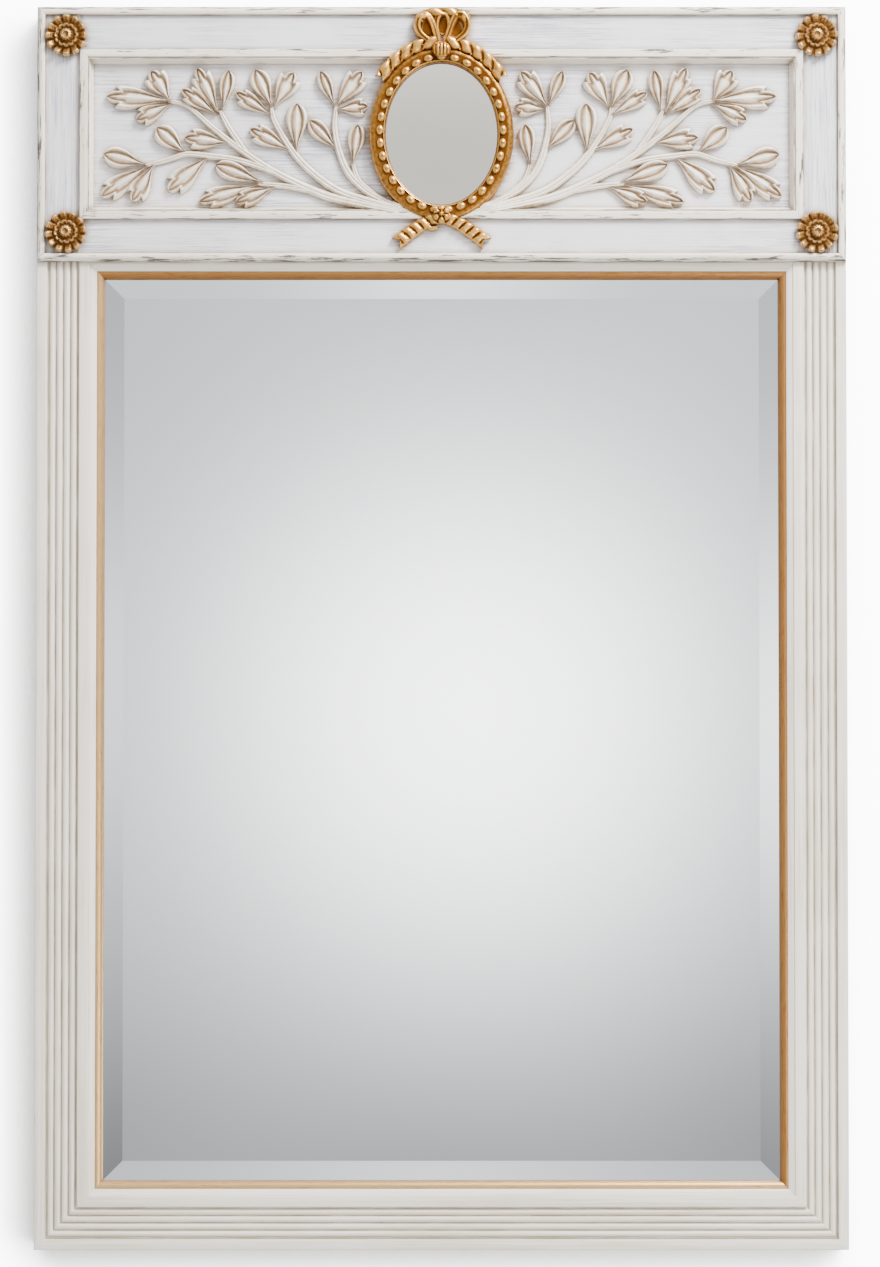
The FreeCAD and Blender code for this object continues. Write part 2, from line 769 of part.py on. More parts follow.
def make_backboard(board_drill):
    """Board behind the mirror, screwed to the shoulders of the frame and to the header."""
    side = half_width - board_edge
    sheet = doc.addObject("Part::Box", "backboard_blank")
    sheet.setExpression("Length", (side * 2).text)
    sheet.setExpression("Width", S.backboard_thickness.text)
    sheet.setExpression("Height", (glazing_top - board_edge * 2).text)
    move(sheet, x=-side, level=mirror_back, z=board_edge)
    return drilled("mirror_backboard", sheet, board_drill)


# Header


def board_rebate_height():
    """How far the backboard's rebate reaches up behind the header."""
    return glazing_top - board_shoulder - header_foot


def make_header_stile(dowel_drill):
    """Left end of the header, mortised for both rails and housed for the panel and hanging rail."""
    body = new_strip("header_stile_blank", rectangle(ZERO, S.header_board, -S.frame_depth, ZERO), S.header_height)
    groove = new_sketch(body, "YZ_Plane", S.header_board)
    draw_outline(groove, rectangle(-panel_front, -panel_back, groove_start, S.header_height - groove_start))
    pocket(body, groove, S.groove_depth)
    mortises = new_sketch(body, "YZ_Plane", S.header_board)
    cheek_near = S.tenon_level - S.fit_gap
    cheek_far = S.tenon_level + S.tenon_thickness + S.fit_gap
    low = S.tenon_inset - S.fit_gap
    high = S.tenon_inset + S.tenon_width + S.fit_gap
    draw_outline(mortises, rectangle(-cheek_far, -cheek_near, low, high))
    draw_outline(mortises, rectangle(-cheek_far, -cheek_near, S.header_height - high, S.header_height - low))
    pocket(body, mortises, S.tenon_length + S.tenon_end_gap)
    housing = new_sketch(body, "YZ_Plane", S.header_board)
    draw_outline(housing, rectangle(-panel_back, -rail_back, rail_foot - header_foot, rail_top - header_foot))
    pocket(body, housing, S.hanging_rail_housing)
    notch = new_sketch(body, "XZ_Plane")
    far = S.header_board + S.overrun
    draw_outline(notch, rectangle(board_shoulder, far, -S.overrun, board_rebate_height()))
    pocket(body, notch, mirror_back, forwards=True)
    place_on_side(body, "left", header_foot, S.overall_height)
    return drilled("header_stile_left", body, dowel_drill)


def make_header_rail(label, side):
    """A header rail: grooved for the panel, tenoned into the stiles, the lower one rebated behind."""
    start = ZERO if side == "top" else board_rebate_height()
    section = [(start, ZERO)]
    if side == "bottom":
        section = [(ZERO, -mirror_back), (start, -mirror_back), (start, ZERO)]
    section += [
        (S.header_board, ZERO),
        (S.header_board, -panel_back),
        (groove_start, -panel_back),
        (groove_start, -panel_front),
        (S.header_board, -panel_front),
        (S.header_board, -S.frame_depth),
        (ZERO, -S.frame_depth),
    ]
    body = new_strip(label, section, S.overall_width - S.header_board * 2, start=S.header_board)
    tenon_end = S.header_board - S.tenon_length
    tenon = new_sketch(body, "XY_Plane", tenon_end)
    draw_outline(tenon, rectangle(S.tenon_inset, S.tenon_inset + S.tenon_width,
                                  -(S.tenon_level + S.tenon_thickness), -S.tenon_level))
    pad(body, tenon, S.overall_width - tenon_end * 2)
    place_on_side(body, side, header_foot, S.overall_height)
    return body


def bead_section(side):
    """Raised bead round the header's outer edge. The lower one stands a little prouder."""
    extra = S.low_bead_rise if side == "bottom" else ZERO
    return [
        (ZERO, -S.frame_depth),
        (S.edge_bead_width, -S.frame_depth),
        (S.edge_bead_width, -(S.frame_depth + S.edge_bead_inner + extra), S.edge_bead_radius, -1),
        (ZERO, -(S.frame_depth + S.edge_bead_outer + extra)),
    ]


def moulding_section(side):
    """Moulding that laps the header boards and falls in a cove to the panel."""
    cove_start = moulding_start + S.moulding_flat
    return [
        (moulding_start, -S.frame_depth),
        (S.header_board, -S.frame_depth),
        (S.header_board, -panel_front),
        (S.header_border, -panel_front),
        (S.header_border, -(panel_front + S.moulding_quirk), S.moulding_cove, 1),
        (cove_start, -(moulding_level - S.moulding_quirk)),
        (cove_start, -moulding_level),
        (moulding_start, -moulding_level),
    ]


def make_panel():
    """The flat frieze panel, captive in the header's grooves."""
    reach = S.groove_depth - S.panel_gap
    side = half_width - S.header_board + reach
    foot = header_foot + S.header_board - reach
    top = S.overall_height - S.header_board + reach
    panel = doc.addObject("Part::Box", "frieze_panel")
    panel.setExpression("Length", (side * 2).text)
    panel.setExpression("Width", S.panel_thickness.text)
    panel.setExpression("Height", (top - foot).text)
    move(panel, x=-side, level=panel_front, z=foot)
    return panel


# Solids with flat facets


def at(x, level, z):
    """The point at this place and level."""
    return Vector(x, -level, z)


def faceted(rings, endless=False):
    """A closed solid through rings of points, with flat triangles from each ring to the next."""
    faces = []
    if endless:
        rings = rings + rings[:1]
    else:
        faces += [Part.Face(Part.makePolygon(ring + ring[:1])) for ring in (rings[0], rings[-1])]
    for here, there in zip(rings, rings[1:]):
        for number, corner in enumerate(here):
            follow = (number + 1) % len(here)
            faces.append(Part.Face(Part.makePolygon([corner, here[follow], there[follow], corner])))
            faces.append(Part.Face(Part.makePolygon([corner, there[follow], there[number], corner])))
    shell = Part.makeShell(faces)
    shell.sewShape()
    solid = Part.makeSolid(shell)
    if solid.Volume < 0:
        solid.reverse()
    return solid


# Hanging gear on the back


def hanger_screw_places():
    """Places of the two screws in each strap."""
    heights = (pivot_height - S.hanger_screw_first, pivot_height - S.hanger_screw_second)
    return [((half_width - S.hanger_inset) * sign, height) for sign in (-1, 1) for height in heights]


def make_hanging_rail(drill):
    """Rail across the back of the header that carries the hangers."""
    side = half_width - S.header_board + S.hanging_rail_housing
    rail = doc.addObject("Part::Box", "hanging_rail_blank")
    rail.setExpression("Length", (side * 2).text)
    rail.setExpression("Width", S.hanging_rail_thickness.text)
    rail.setExpression("Height", S.hanging_rail_height.text)
    move(rail, x=-side, level=panel_back, z=rail_foot)
    return drilled("hanging_rail", rail, drill)


def make_strap(label, x, drill):
    """Strap hanger: a drilled plate whose top is rolled round the ring."""
    body = doc.addObject("PartDesign::Body", f"{label}_blank")
    half_strap = S.strap_width * HALF_SHARE
    round_start = -(S.strap_length - half_strap)
    plate = new_sketch(body, "XZ_Plane", rail_back - S.strap_thickness)
    draw_outline(plate, [
        (-half_strap, ZERO),
        (-half_strap, round_start, S.strap_end_radius, 1),
        (half_strap, round_start),
        (half_strap, ZERO),
    ])
    pad(body, plate, S.strap_thickness)
    loop = new_sketch(body, "YZ_Plane", -half_strap)
    wall_count = int(S.loop_wall_count.value)
    draw_polygon(loop, -pivot_level, ZERO, loop_radius, wall_count)
    pad(body, loop, S.strap_width)
    bore = new_sketch(body, "YZ_Plane")
    draw_polygon(bore, -pivot_level, ZERO, S.ring_wire * HALF_SHARE + S.ring_pin_gap, wall_count)
    pocket(body, bore)
    move(body, x=x, z=pivot_height)
    return drilled(label, body, drill)


def make_ring(label, x):
    """D-shaped wire ring, turned up and resting just off the rail."""
    wire = S.ring_wire.value
    side = (S.ring_inside_width.value + wire) / 2
    corner = S.ring_corner.value
    leg = S.ring_leg.value
    count = int(S.wire_side_count.value)
    bow_count = int(S.ring_bow_count.value)
    corner_count = int(S.ring_corner_count.value)
    quarter = math.radians(QUARTER_TURN)
    line = []
    for step in range(bow_count + 1):
        turn = math.pi * step / bow_count
        line.append((math.cos(turn) * side, leg + math.sin(turn) * side, turn))
    for sign, start in ((-1, quarter * 2), (1, quarter * 3)):
        for step in range(corner_count + 1):
            turn = start + quarter * step / corner_count
            line.append((math.cos(turn) * corner + (side - corner) * sign, corner + math.sin(turn) * corner, turn))
    rings = []
    for across, up, turn in line:
        ring = []
        for step in range(count):
            angle = math.tau * step / count
            out = math.cos(angle) * wire / 2
            ring.append(at(across + math.cos(turn) * out, math.sin(angle) * wire / 2, up + math.sin(turn) * out))
        rings.append(ring)
    solid = faceted(rings, endless=True)
    reach = leg + side
    lean = math.asin((loop_radius.value - wire / 2 - S.ring_rest_gap.value) / reach)
    solid.rotate(Vector(0, 0, 0), Vector(1, 0, 0), math.degrees(lean))
    ring = doc.addObject("Part::Feature", label)
    ring.Shape = solid
    move(ring, x=x, level=pivot_level, z=pivot_height)
    return ring


def prism(points, low, high):
    """An upright outline, drawn out from one level to another."""
    corners = [at(x, low, z) for x, z in points]
    return Part.Face(Part.makePolygon(corners + corners[:1])).extrude(Vector(0, low - high, 0))


def ellipse(half_across, half_up, x, z, count):
    """Points round an upright ellipse, clockwise from its top."""
    turns = [math.tau * number / count for number in range(count)]
    return [(x + math.sin(turn) * half_across, z + math.cos(turn) * half_up) for turn in turns]


def carved(label, shape, *neighbours, in_one=False):
    """A carved piece, cut to seat on the pieces that it covers. In one, what a cut parts from it goes."""
    for neighbour in neighbours:
        shape = shape.cut(neighbour)
    if in_one:
        shape = max(shape.Solids, key=lambda solid: solid.Volume)
    piece = doc.addObject("Part::Feature", label)
    piece.Shape = shape.removeSplitter()
    return piece


def directions(line):
    """Unit directions of a line of (x, z) points, each averaged over its two runs."""
    found = []
    for number in range(len(line)):
        before = Vector(*line[max(number - 1, 0)], 0)
        after = Vector(*line[min(number + 1, len(line) - 1)], 0)
        found.append((after - before).normalize())
    return found


def band(line, width, low, tops):
    """A ribbon of even width along a line of (x, z) points, with the level of its top at each."""
    rings = []
    for (x, z), along, top in zip(line, directions(line), tops):
        side = Vector(-along.y, along.x, 0) * (width / 2)
        rings.append([
            at(x - side.x, low, z - side.y),
            at(x + side.x, low, z + side.y),
            at(x + side.x, top, z + side.y),
            at(x - side.x, top, z - side.y),
        ])
    return faceted(rings)


# Rosettes


def make_petal(radius):
    """One petal, widest and thickest near its round tip, standing up from the rosette's centre."""
    low = S.rosette_foot_height.value
    rings = []
    for out, half, thickness in PETAL_SHARES:
        top = low + S.petal_thickness.value * thickness
        flat = radius * half * HALF_SHARE
        rings.append([
            at(-radius * half, low, radius * out),
            at(radius * half, low, radius * out),
            at(flat, top, radius * out),
            at(-flat, top, radius * out),
        ])
    return faceted(rings)


def make_rosette(label, x, z):
    """Rosette: a ring of petals round a dished boss, on a smaller foot that clears the moulding beside it."""
    radius = S.rosette_diameter.value / 2
    foot = S.rosette_foot.value / 2
    section = [(foot, 0), (foot, S.rosette_foot_height.value)]
    section += [(radius * out, S.rosette_height.value * up) for out, up in BOSS_SHARES]
    sides = int(S.boss_side_count.value)
    rings = []
    for out, up in section:
        rings.append([at(across, up, height) for across, height in ellipse(out, out, 0, 0, sides)])
    whole = faceted(rings)
    count = int(S.petal_count.value)
    petals = []
    for number in range(count):
        petal = make_petal(radius)
        petal.rotate(Vector(0, 0, 0), Vector(0, 1, 0), FULL_TURN * number / count)
        petals.append(petal)
    rosette = carved(label, whole.multiFuse(petals))
    move(rosette, x=x, level=S.frame_depth, z=z)
    return rosette


# Oval frame, its mirror and packing


def oval_line(inset, count):
    """Points round the oval at an inset from its outer edge."""
    return ellipse(oval_half_width.value - inset, oval_half_height.value - inset, 0, oval_centre.value, count)


def make_oval_frame(supports):
    """Oval frame: one section all round, a row of pearls in its hollow, coped over the mouldings."""
    width = S.oval_section.value
    rise = S.oval_rise.value
    section = [(inset * width, height * rise) for inset, height in OVAL_FRONT_SHARES]
    section += [(width, S.oval_lip.value), (S.oval_rebate.value, S.oval_lip.value), (S.oval_rebate.value, 0)]
    lines = [oval_line(inset, int(S.oval_side_count.value)) for inset, height in section]
    rings = [
        [at(x, panel_front.value + height, z) for (x, z), (inset, height) in zip(points, section)]
        for points in zip(*lines)
    ]
    floor = panel_front.value + OVAL_FRONT_SHARES[4][1] * rise
    seats = oval_line(width * PEARL_SEAT_SHARE, int(S.pearl_count.value))
    ways = [Vector(*after, 0) - Vector(*before, 0) for after, before in zip(seats[1:] + seats[:1], [seats[-1]] + seats)]
    pearls = [make_pearl(x, z, way, floor) for (x, z), way in zip(seats, ways)]
    whole = faceted(rings, endless=True).multiFuse(pearls)
    return carved("oval_frame", whole, *supports)


def make_pearl(x, z, way, floor):
    """A long low pearl that lies along its row in the hollow."""
    rings = []
    for share, level in ((1, floor - S.touch_gap.value), (PEARL_CROWN_SHARE, oval_front.value)):
        outline = ellipse(S.pearl_width.value / 2 * share, S.pearl_length.value / 2 * share, 0, 0,
                          int(S.pearl_side_count.value))
        rings.append([at(across, level, up) for across, up in outline])
    pearl = faceted(rings)
    pearl.rotate(Vector(0, 0, 0), Vector(0, 1, 0), math.degrees(math.atan2(way.x, way.y)))
    pearl.translate(Vector(x, 0, z))
    return pearl


def make_oval_layer(label, low, thickness, supports):
    """A flat oval layer that lies in the oval frame's rebate."""
    outline = oval_line((S.oval_rebate + S.oval_mirror_gap).value, int(S.oval_side_count.value))
    return carved(label, prism(outline, low.value, (low + thickness).value), *supports)


# Bow, tails, crossed ribbons and flower


def knot_height():
    """Height of the knot's centre."""
    return (oval_centre + oval_half_height - S.knot_drop).value


def make_bow(supports):
    """Three ribbon loops and a draped band on the header, tied by a knot that laps the oval frame."""
    foot = S.frame_depth.value
    knot = knot_height()
    thick = S.bow_thickness.value
    half_loop = S.loop_width.value / 2
    tall_loop = S.loop_height.value / 2
    strip = S.ribbon_band.value
    pieces = []
    for sign in (-1, 0, 1):
        centre = (sign * S.loop_spacing.value, knot + S.loop_lift.value, int(S.loop_side_count.value))
        top = foot + thick - (S.ribbon_fold.value if sign == 0 else 0)
        outer = prism(ellipse(half_loop, tall_loop, *centre), foot, top)
        inner = prism(ellipse(half_loop - strip, tall_loop - strip, *centre), foot - strip, top + strip)
        pieces.append(outer.cut(inner))
    drape = [(across * S.loop_height.value, knot + up * S.loop_height.value) for across, up in DRAPE_SHARES]
    tops = [foot + thick + S.ribbon_fold.value * (number % 2) for number in range(len(drape))]
    pieces.append(band(drape, strip + S.ribbon_fold.value, foot, tops))
    half_knot = S.knot_width.value / 2
    tall_knot = S.knot_height.value / 2
    bevel = tall_knot / 2
    octagon = [
        (-half_knot, knot - tall_knot + bevel), (bevel - half_knot, knot - tall_knot),
        (half_knot - bevel, knot - tall_knot), (half_knot, knot - tall_knot + bevel),
        (half_knot, knot + tall_knot - bevel), (half_knot - bevel, knot + tall_knot),
        (bevel - half_knot, knot + tall_knot), (-half_knot, knot + tall_knot - bevel),
    ]
    pieces.append(prism(octagon, oval_front.value, oval_front.value + S.knot_thickness.value))
    edge = (oval_centre + oval_half_height).value + S.fit_gap.value
    root = knot + tall_knot + strip
    neck = [(-half_knot, edge), (half_knot, edge), (half_knot, root), (-half_knot, root)]
    pieces.append(prism(neck, foot, oval_front.value + strip / 2))
    whole = pieces[0].multiFuse(pieces[1:])
    return carved("ribbon_bow", whole, *supports)


def oval_core():
    """The space that the oval frame takes, a fit gap larger, right through."""
    return prism(oval_line(-S.fit_gap.value, int(S.oval_side_count.value)), 0, S.frame_depth.value * 2)


def make_tail(supports):
    """Left tail of the bow: a folded ribbon that follows the oval's outer edge."""
    line = []
    tops = []
    half_across = oval_half_width.value + S.tail_width.value / 2
    half_up = oval_half_height.value + S.tail_width.value / 2
    for share, fold in TAIL_SHARES:
        angle = math.tau * share
        line.append((-math.sin(angle) * half_across, oval_centre.value + math.cos(angle) * half_up))
        tops.append(oval_front.value - S.ribbon_fold.value * (1 - fold))
    ribbon = band(line, S.tail_width.value, S.frame_depth.value, tops)
    return carved("ribbon_tail_left", ribbon, oval_core(), *supports, in_one=True)


def make_ribbon_ends(supports):
    """The two ribbon ends that cross under the flower, each with a notched end."""
    reach = S.ribbon_reach.value
    flower = (oval_centre - oval_half_height).value + S.ribbon_thickness.value
    base = S.frame_depth.value
    width = S.ribbon_width.value
    ends = []
    for sign in (1, -1):
        line = [(across * reach * sign, flower + up * reach) for across, up, fold in RIBBON_SHARES]
        tops = [base + S.ribbon_thickness.value + S.ribbon_fold.value * fold for across, up, fold in RIBBON_SHARES]
        ribbon = band(line, width, base, tops)
        along = directions(line)[-1]
        side = Vector(-along.y, along.x, 0)
        tip = Vector(*line[-1], 0)
        inner = tip - along * (width / 2)
        outer = tip + along * S.overrun.value
        corners = [inner, outer + side * (width / 2), outer - side * (width / 2)]
        notch = prism([(corner.x, corner.y) for corner in corners], 0, base * 2)
        ends.append(ribbon.cut(notch))
    whole = ends[0].fuse(ends[1])
    return carved("ribbon_ends", whole, oval_core(), *supports)


def make_flower():
    """Small petalled flower on the foot of the oval frame."""
    centre = (oval_centre - oval_half_height).value + S.ribbon_thickness.value
    radius = S.flower_diameter.value / 2
    corner_count = int(S.flower_petal_count.value) * 2
    rings = []
    for share, up in FLOWER_SHARES:
        level = oval_front.value + S.flower_height.value * up
        ring = []
        for number in range(corner_count):
            angle = math.tau * number / corner_count
            reach = radius * share * (FLOWER_NOTCH_SHARE if number % 2 else 1)
            ring.append(at(math.sin(angle) * reach, level, centre + math.cos(angle) * reach))
        rings.append(ring)
    return carved("ribbon_flower", faceted(rings))


# Leaf sprays


def on_panel(across, up):
    """A place on the left half of the panel, from its shares."""
    return -open_half_width.value * across, open_foot.value + open_height.value * up


def make_leaf(foot_across, foot_up, tip_across, tip_up, width_share):
    """One leaf: raised at its rims and along its middle, widest near the tip."""
    foot = Vector(*on_panel(foot_across, foot_up), 0)
    tip = Vector(*on_panel(tip_across, tip_up), 0)
    along = (tip - foot).normalize()
    side = Vector(-along.y, along.x, 0)
    base = panel_front.value
    rings = []
    for share, half_share, rim_share, ridge_share in LEAF_FORM_SHARES:
        middle = foot + (tip - foot) * share
        half = side * (S.leaf_width.value * width_share * half_share)
        left = middle - half
        right = middle + half
        rim = base + S.leaf_rim.value * rim_share
        rings.append([
            at(left.x, base, left.y),
            at(right.x, base, right.y),
            at(right.x, rim, right.y),
            at(middle.x, base + S.leaf_ridge.value * ridge_share, middle.y),
            at(left.x, rim, left.y),
        ])
    return faceted(rings)


def make_stem(shares):
    """One stem: a low ridge that narrows towards its leaves."""
    line = [on_panel(across, up) for across, up, width, relief in shares]
    base = panel_front.value
    rings = []
    for (x, z), along, share in zip(line, directions(line), shares):
        side = Vector(-along.y, along.x, 0) * (S.stem_width.value * share[2] / 2)
        crest = side * HALF_SHARE
        top = base + S.stem_relief.value * share[3]
        rings.append([
            at(x - side.x, base, z - side.y),
            at(x + side.x, base, z + side.y),
            at(x + crest.x, top, z + crest.y),
            at(x - crest.x, top, z - crest.y),
        ])
    return faceted(rings)


def make_spray(supports):
    """Left spray: all its leaves and stems in one carving, coped over the moulding at its foot."""
    parts = [make_leaf(*leaf) for leaf in LEAF_SHARES] + [make_stem(stem) for stem in STEM_SHARES]
    whole = parts[0].multiFuse(parts[1:])
    return carved("leaf_spray_left", whole, oval_core(), *supports)


def build():
    """Makes every piece in turn, and gives those that are pieces of the real mirror."""
    board_screws, board_drill = make_screws(
        "backboard_screws", board_screw_places(), board_back, S.board_screw_diameter, S.board_screw_length,
        S.board_screw_head, S.board_screw_head_height)
    hanger_screws, hanger_drill = make_screws(
        "hanger_screws", hanger_screw_places(), rail_back - S.strap_thickness, S.hanger_screw_diameter,
        S.hanger_screw_length, S.hanger_screw_head, S.hanger_screw_head_height)
    dowels, dowel_drill = make_dowels()
    doc.recompute()
    pieces = [board_screws, hanger_screws, dowels]

    stile = make_frame_stile(board_drill, dowel_drill)
    pieces += [stile, mirrored("frame_stile_right", stile), make_frame_bottom_rail(board_drill)]
    key = make_mitre_key()
    pieces += [make_frame_top_rail(), key, mirrored("mitre_key_right", key)]
    pieces += mitred_frame("gilt_slip", slip_section, ZERO, glazing_top, slip_edge).values()
    pieces += [make_mirror(), make_backboard(board_drill)]

    header_stile = make_header_stile(dowel_drill)
    top_rail = make_header_rail("header_top_rail", "top")
    bottom_blank = make_header_rail("header_bottom_rail_blank", "bottom")
    bottom_rail = drilled("header_bottom_rail", bottom_blank, board_drill)
    pieces += [header_stile, mirrored("header_stile_right", header_stile), top_rail, bottom_rail]
    beads = mitred_frame("header_bead", bead_section, header_foot, S.overall_height, S.edge_bead_width)
    mouldings = mitred_frame("panel_moulding", moulding_section, header_foot, S.overall_height, S.header_border)
    pieces += [*beads.values(), *mouldings.values(), make_panel()]

    hanger = half_width - S.hanger_inset
    pieces += [make_hanging_rail(hanger_drill)]
    for name, x in (("left", -hanger), ("right", hanger)):
        pieces += [make_strap(f"hanger_strap_{name}", x, hanger_drill), make_ring(f"hanger_ring_{name}", x)]

    side = half_width - S.rosette_inset
    for name, z in (("top", S.overall_height - S.rosette_inset), ("bottom", header_foot + S.rosette_inset)):
        pieces += [make_rosette(f"rosette_{name}_left", -side, z), make_rosette(f"rosette_{name}_right", side, z)]

    doc.recompute()
    boards = [top_rail, bottom_rail, mouldings["top"], mouldings["bottom"], beads["top"]]
    supports = [board.Shape for board in boards]
    packing = S.oval_lip - S.oval_mirror_thickness
    pieces += [make_oval_frame(supports), make_oval_layer("oval_packing", panel_front, packing, supports)]
    pieces += [make_oval_layer("oval_mirror", panel_front + packing, S.oval_mirror_thickness, supports)]
    bow = make_bow(supports)
    tail = make_tail(supports + [bow.Shape])
    ends = make_ribbon_ends(supports)
    pieces += [bow, tail, mirrored("ribbon_tail_right", tail), ends, make_flower()]
    spray = make_spray(supports + [ends.Shape, tail.Shape])
    pieces += [spray, mirrored("leaf_spray_right", spray)]
    doc.recompute()
    return pieces


def check_and_write(pieces):
    """Makes sure that every object is sound before any file is written."""
    for thing in doc.Objects:
        if "Invalid" in thing.State or "Error" in thing.State:
            raise RuntimeError(f"{thing.Label} failed: {thing.State}")
    for piece in pieces:
        if piece.Shape.isNull() or not piece.Shape.isValid() or not piece.Shape.Solids:
            raise RuntimeError(f"{piece.Label} has no sound solid")
    os.makedirs("parts", exist_ok=True)
    for piece in pieces:
        piece.Shape.exportStep(f"parts/{piece.Label}.step")
        print(piece.Label, len(piece.Shape.Solids), round(piece.Shape.Volume))


check_and_write(build())
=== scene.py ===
import json
import math

import bmesh
import bpy
import numpy as np
from bpy.props import FloatProperty, FloatVectorProperty, IntProperty, PointerProperty
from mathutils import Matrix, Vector


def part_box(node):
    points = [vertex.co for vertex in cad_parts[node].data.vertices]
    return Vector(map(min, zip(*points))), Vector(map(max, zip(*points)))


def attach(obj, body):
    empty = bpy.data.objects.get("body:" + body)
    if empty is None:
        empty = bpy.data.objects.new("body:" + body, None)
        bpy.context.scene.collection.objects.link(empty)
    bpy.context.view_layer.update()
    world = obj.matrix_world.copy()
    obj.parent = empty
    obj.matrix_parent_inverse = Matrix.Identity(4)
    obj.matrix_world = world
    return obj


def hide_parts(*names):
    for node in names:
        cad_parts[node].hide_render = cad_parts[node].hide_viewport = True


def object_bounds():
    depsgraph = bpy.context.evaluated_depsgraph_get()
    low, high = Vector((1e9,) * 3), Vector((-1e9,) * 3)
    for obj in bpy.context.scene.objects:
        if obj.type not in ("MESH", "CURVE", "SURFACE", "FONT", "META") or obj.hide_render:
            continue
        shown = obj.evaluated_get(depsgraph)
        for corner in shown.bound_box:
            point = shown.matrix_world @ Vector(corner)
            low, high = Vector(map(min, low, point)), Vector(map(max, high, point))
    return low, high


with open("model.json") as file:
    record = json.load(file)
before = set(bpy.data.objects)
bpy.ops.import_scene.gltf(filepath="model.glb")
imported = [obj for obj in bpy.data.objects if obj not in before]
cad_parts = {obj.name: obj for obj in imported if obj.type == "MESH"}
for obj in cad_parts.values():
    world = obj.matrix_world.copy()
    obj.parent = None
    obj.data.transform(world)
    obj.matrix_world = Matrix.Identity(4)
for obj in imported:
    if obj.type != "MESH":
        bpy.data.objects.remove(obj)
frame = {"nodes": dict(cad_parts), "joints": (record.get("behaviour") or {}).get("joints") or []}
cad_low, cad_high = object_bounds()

bl_info = {
    "name": "Carved Wall Mirror",
    "version": (1, 0, 0),
    "blender": (4, 5, 0),
    "location": "View3D > Sidebar > Wall Mirror",
    "description": "Finishes a reeded and gilded wall mirror with paint, gilding, carving and glass",
    "category": "Add Mesh",
}

# X is to the right, Z is up and the front faces -Y. A level is a distance in front of the wall plane,
# and an inset is a distance in from the frame's outer edge.

MM = 0.001
WHITE_LEVEL = 255

# A length that is never divided by less, in metres.
SHORTEST = 1e-9


def length(name, description, millimetres):
    """A length that a user can change."""
    return FloatProperty(name=name, description=description, default=millimetres * MM, unit="LENGTH",
                         subtype="DISTANCE")


def amount(name, description, value):
    """A share from nothing to all."""
    return FloatProperty(name=name, description=description, default=value, min=0, max=1, subtype="FACTOR")


def angle(name, description, degrees):
    """An angle that a user can change."""
    return FloatProperty(name=name, description=description, default=math.radians(degrees), unit="ROTATION",
                         subtype="ANGLE")


def plain(name, description, value, unit="NONE"):
    """A number that a user can change."""
    return FloatProperty(name=name, description=description, default=value, unit=unit)


def whole(name, description, count):
    """A whole number of like things."""
    return IntProperty(name=name, description=description, default=count, min=1)


def colour(name, description, *screen):
    """A colour, given as it looks on a screen."""
    linear = [(part / WHITE_LEVEL) ** 2.2 for part in screen]
    return FloatVectorProperty(name=name, description=description, default=(*linear, 1), size=4, min=0, max=1,
                               subtype="COLOR")


class FrameSizes(bpy.types.PropertyGroup):
    """Sections of the reeded frame and its gilt slip"""

    arris: length("Arris", "How far a worn corner is rounded", 0.9)
    outer_fillet: length("Outer fillet", "Flat along the outer edge", 10.5)
    inner_fillet: length("Inner fillet", "Flat inside the reeds", 11)
    channel_depth: length("Channel depth", "Depth of the channel that holds the reeds", 4)
    channel_margin: length("Channel margin", "Gap beside the outermost reeds", 1.6)
    reed_count: whole("Reeds", "Number of reeds", 4)
    reed_pitch: length("Reed pitch", "Distance from one reed to the next", 7.2)
    reed_width: length("Reed width", "Width of a reed at its foot", 6.8)
    reed_rise: length("Reed rise", "Height of a reed above the channel", 2.8)
    slope_step: length("Slope step", "Drop from the inner fillet to the slope", 1)
    slope_drop: length("Slope drop", "Fall of the slope to the sight edge", 3)
    lip_thickness: length("Lip", "Thickness of the lip over the mirror", 5)
    mirror_rebate: length("Mirror rebate", "Width of the rebate for the mirror", 10)
    board_rebate: length("Board rebate", "Width of the rebate for the backboard", 10)
    slip_crown: length("Slip crown", "Width of the slip's flat crest", 1.5)
    slip_sight: length("Slip sight", "Height of the slip's edge above the mirror", 1.2)
    slip_radius: length("Slip radius", "Radius of the slip's round front", 7)
    slip_tongue: length("Slip tongue", "Thickness of the slip behind the frame's lip", 3)


class HeaderSizes(bpy.types.PropertyGroup):
    """Sections of the header's bead and moulding"""

    bead_outer: length("Bead outer edge", "Rise of the bead at the header's edge", 0.8)
    bead_inner: length("Bead inner edge", "Rise of the bead where it meets the board", 3.4)
    bead_radius: length("Bead radius", "Radius of the bead's top", 5)
    moulding_flat: length("Moulding flat", "Width of the moulding's flat top", 7.5)
    moulding_groove: length("Moulding groove", "Width of the groove beside the flat top", 2)
    moulding_quirk: length("Moulding quirk", "Small step at each end of the cove", 1)
    moulding_cove: length("Moulding cove", "Radius of the cove", 12)


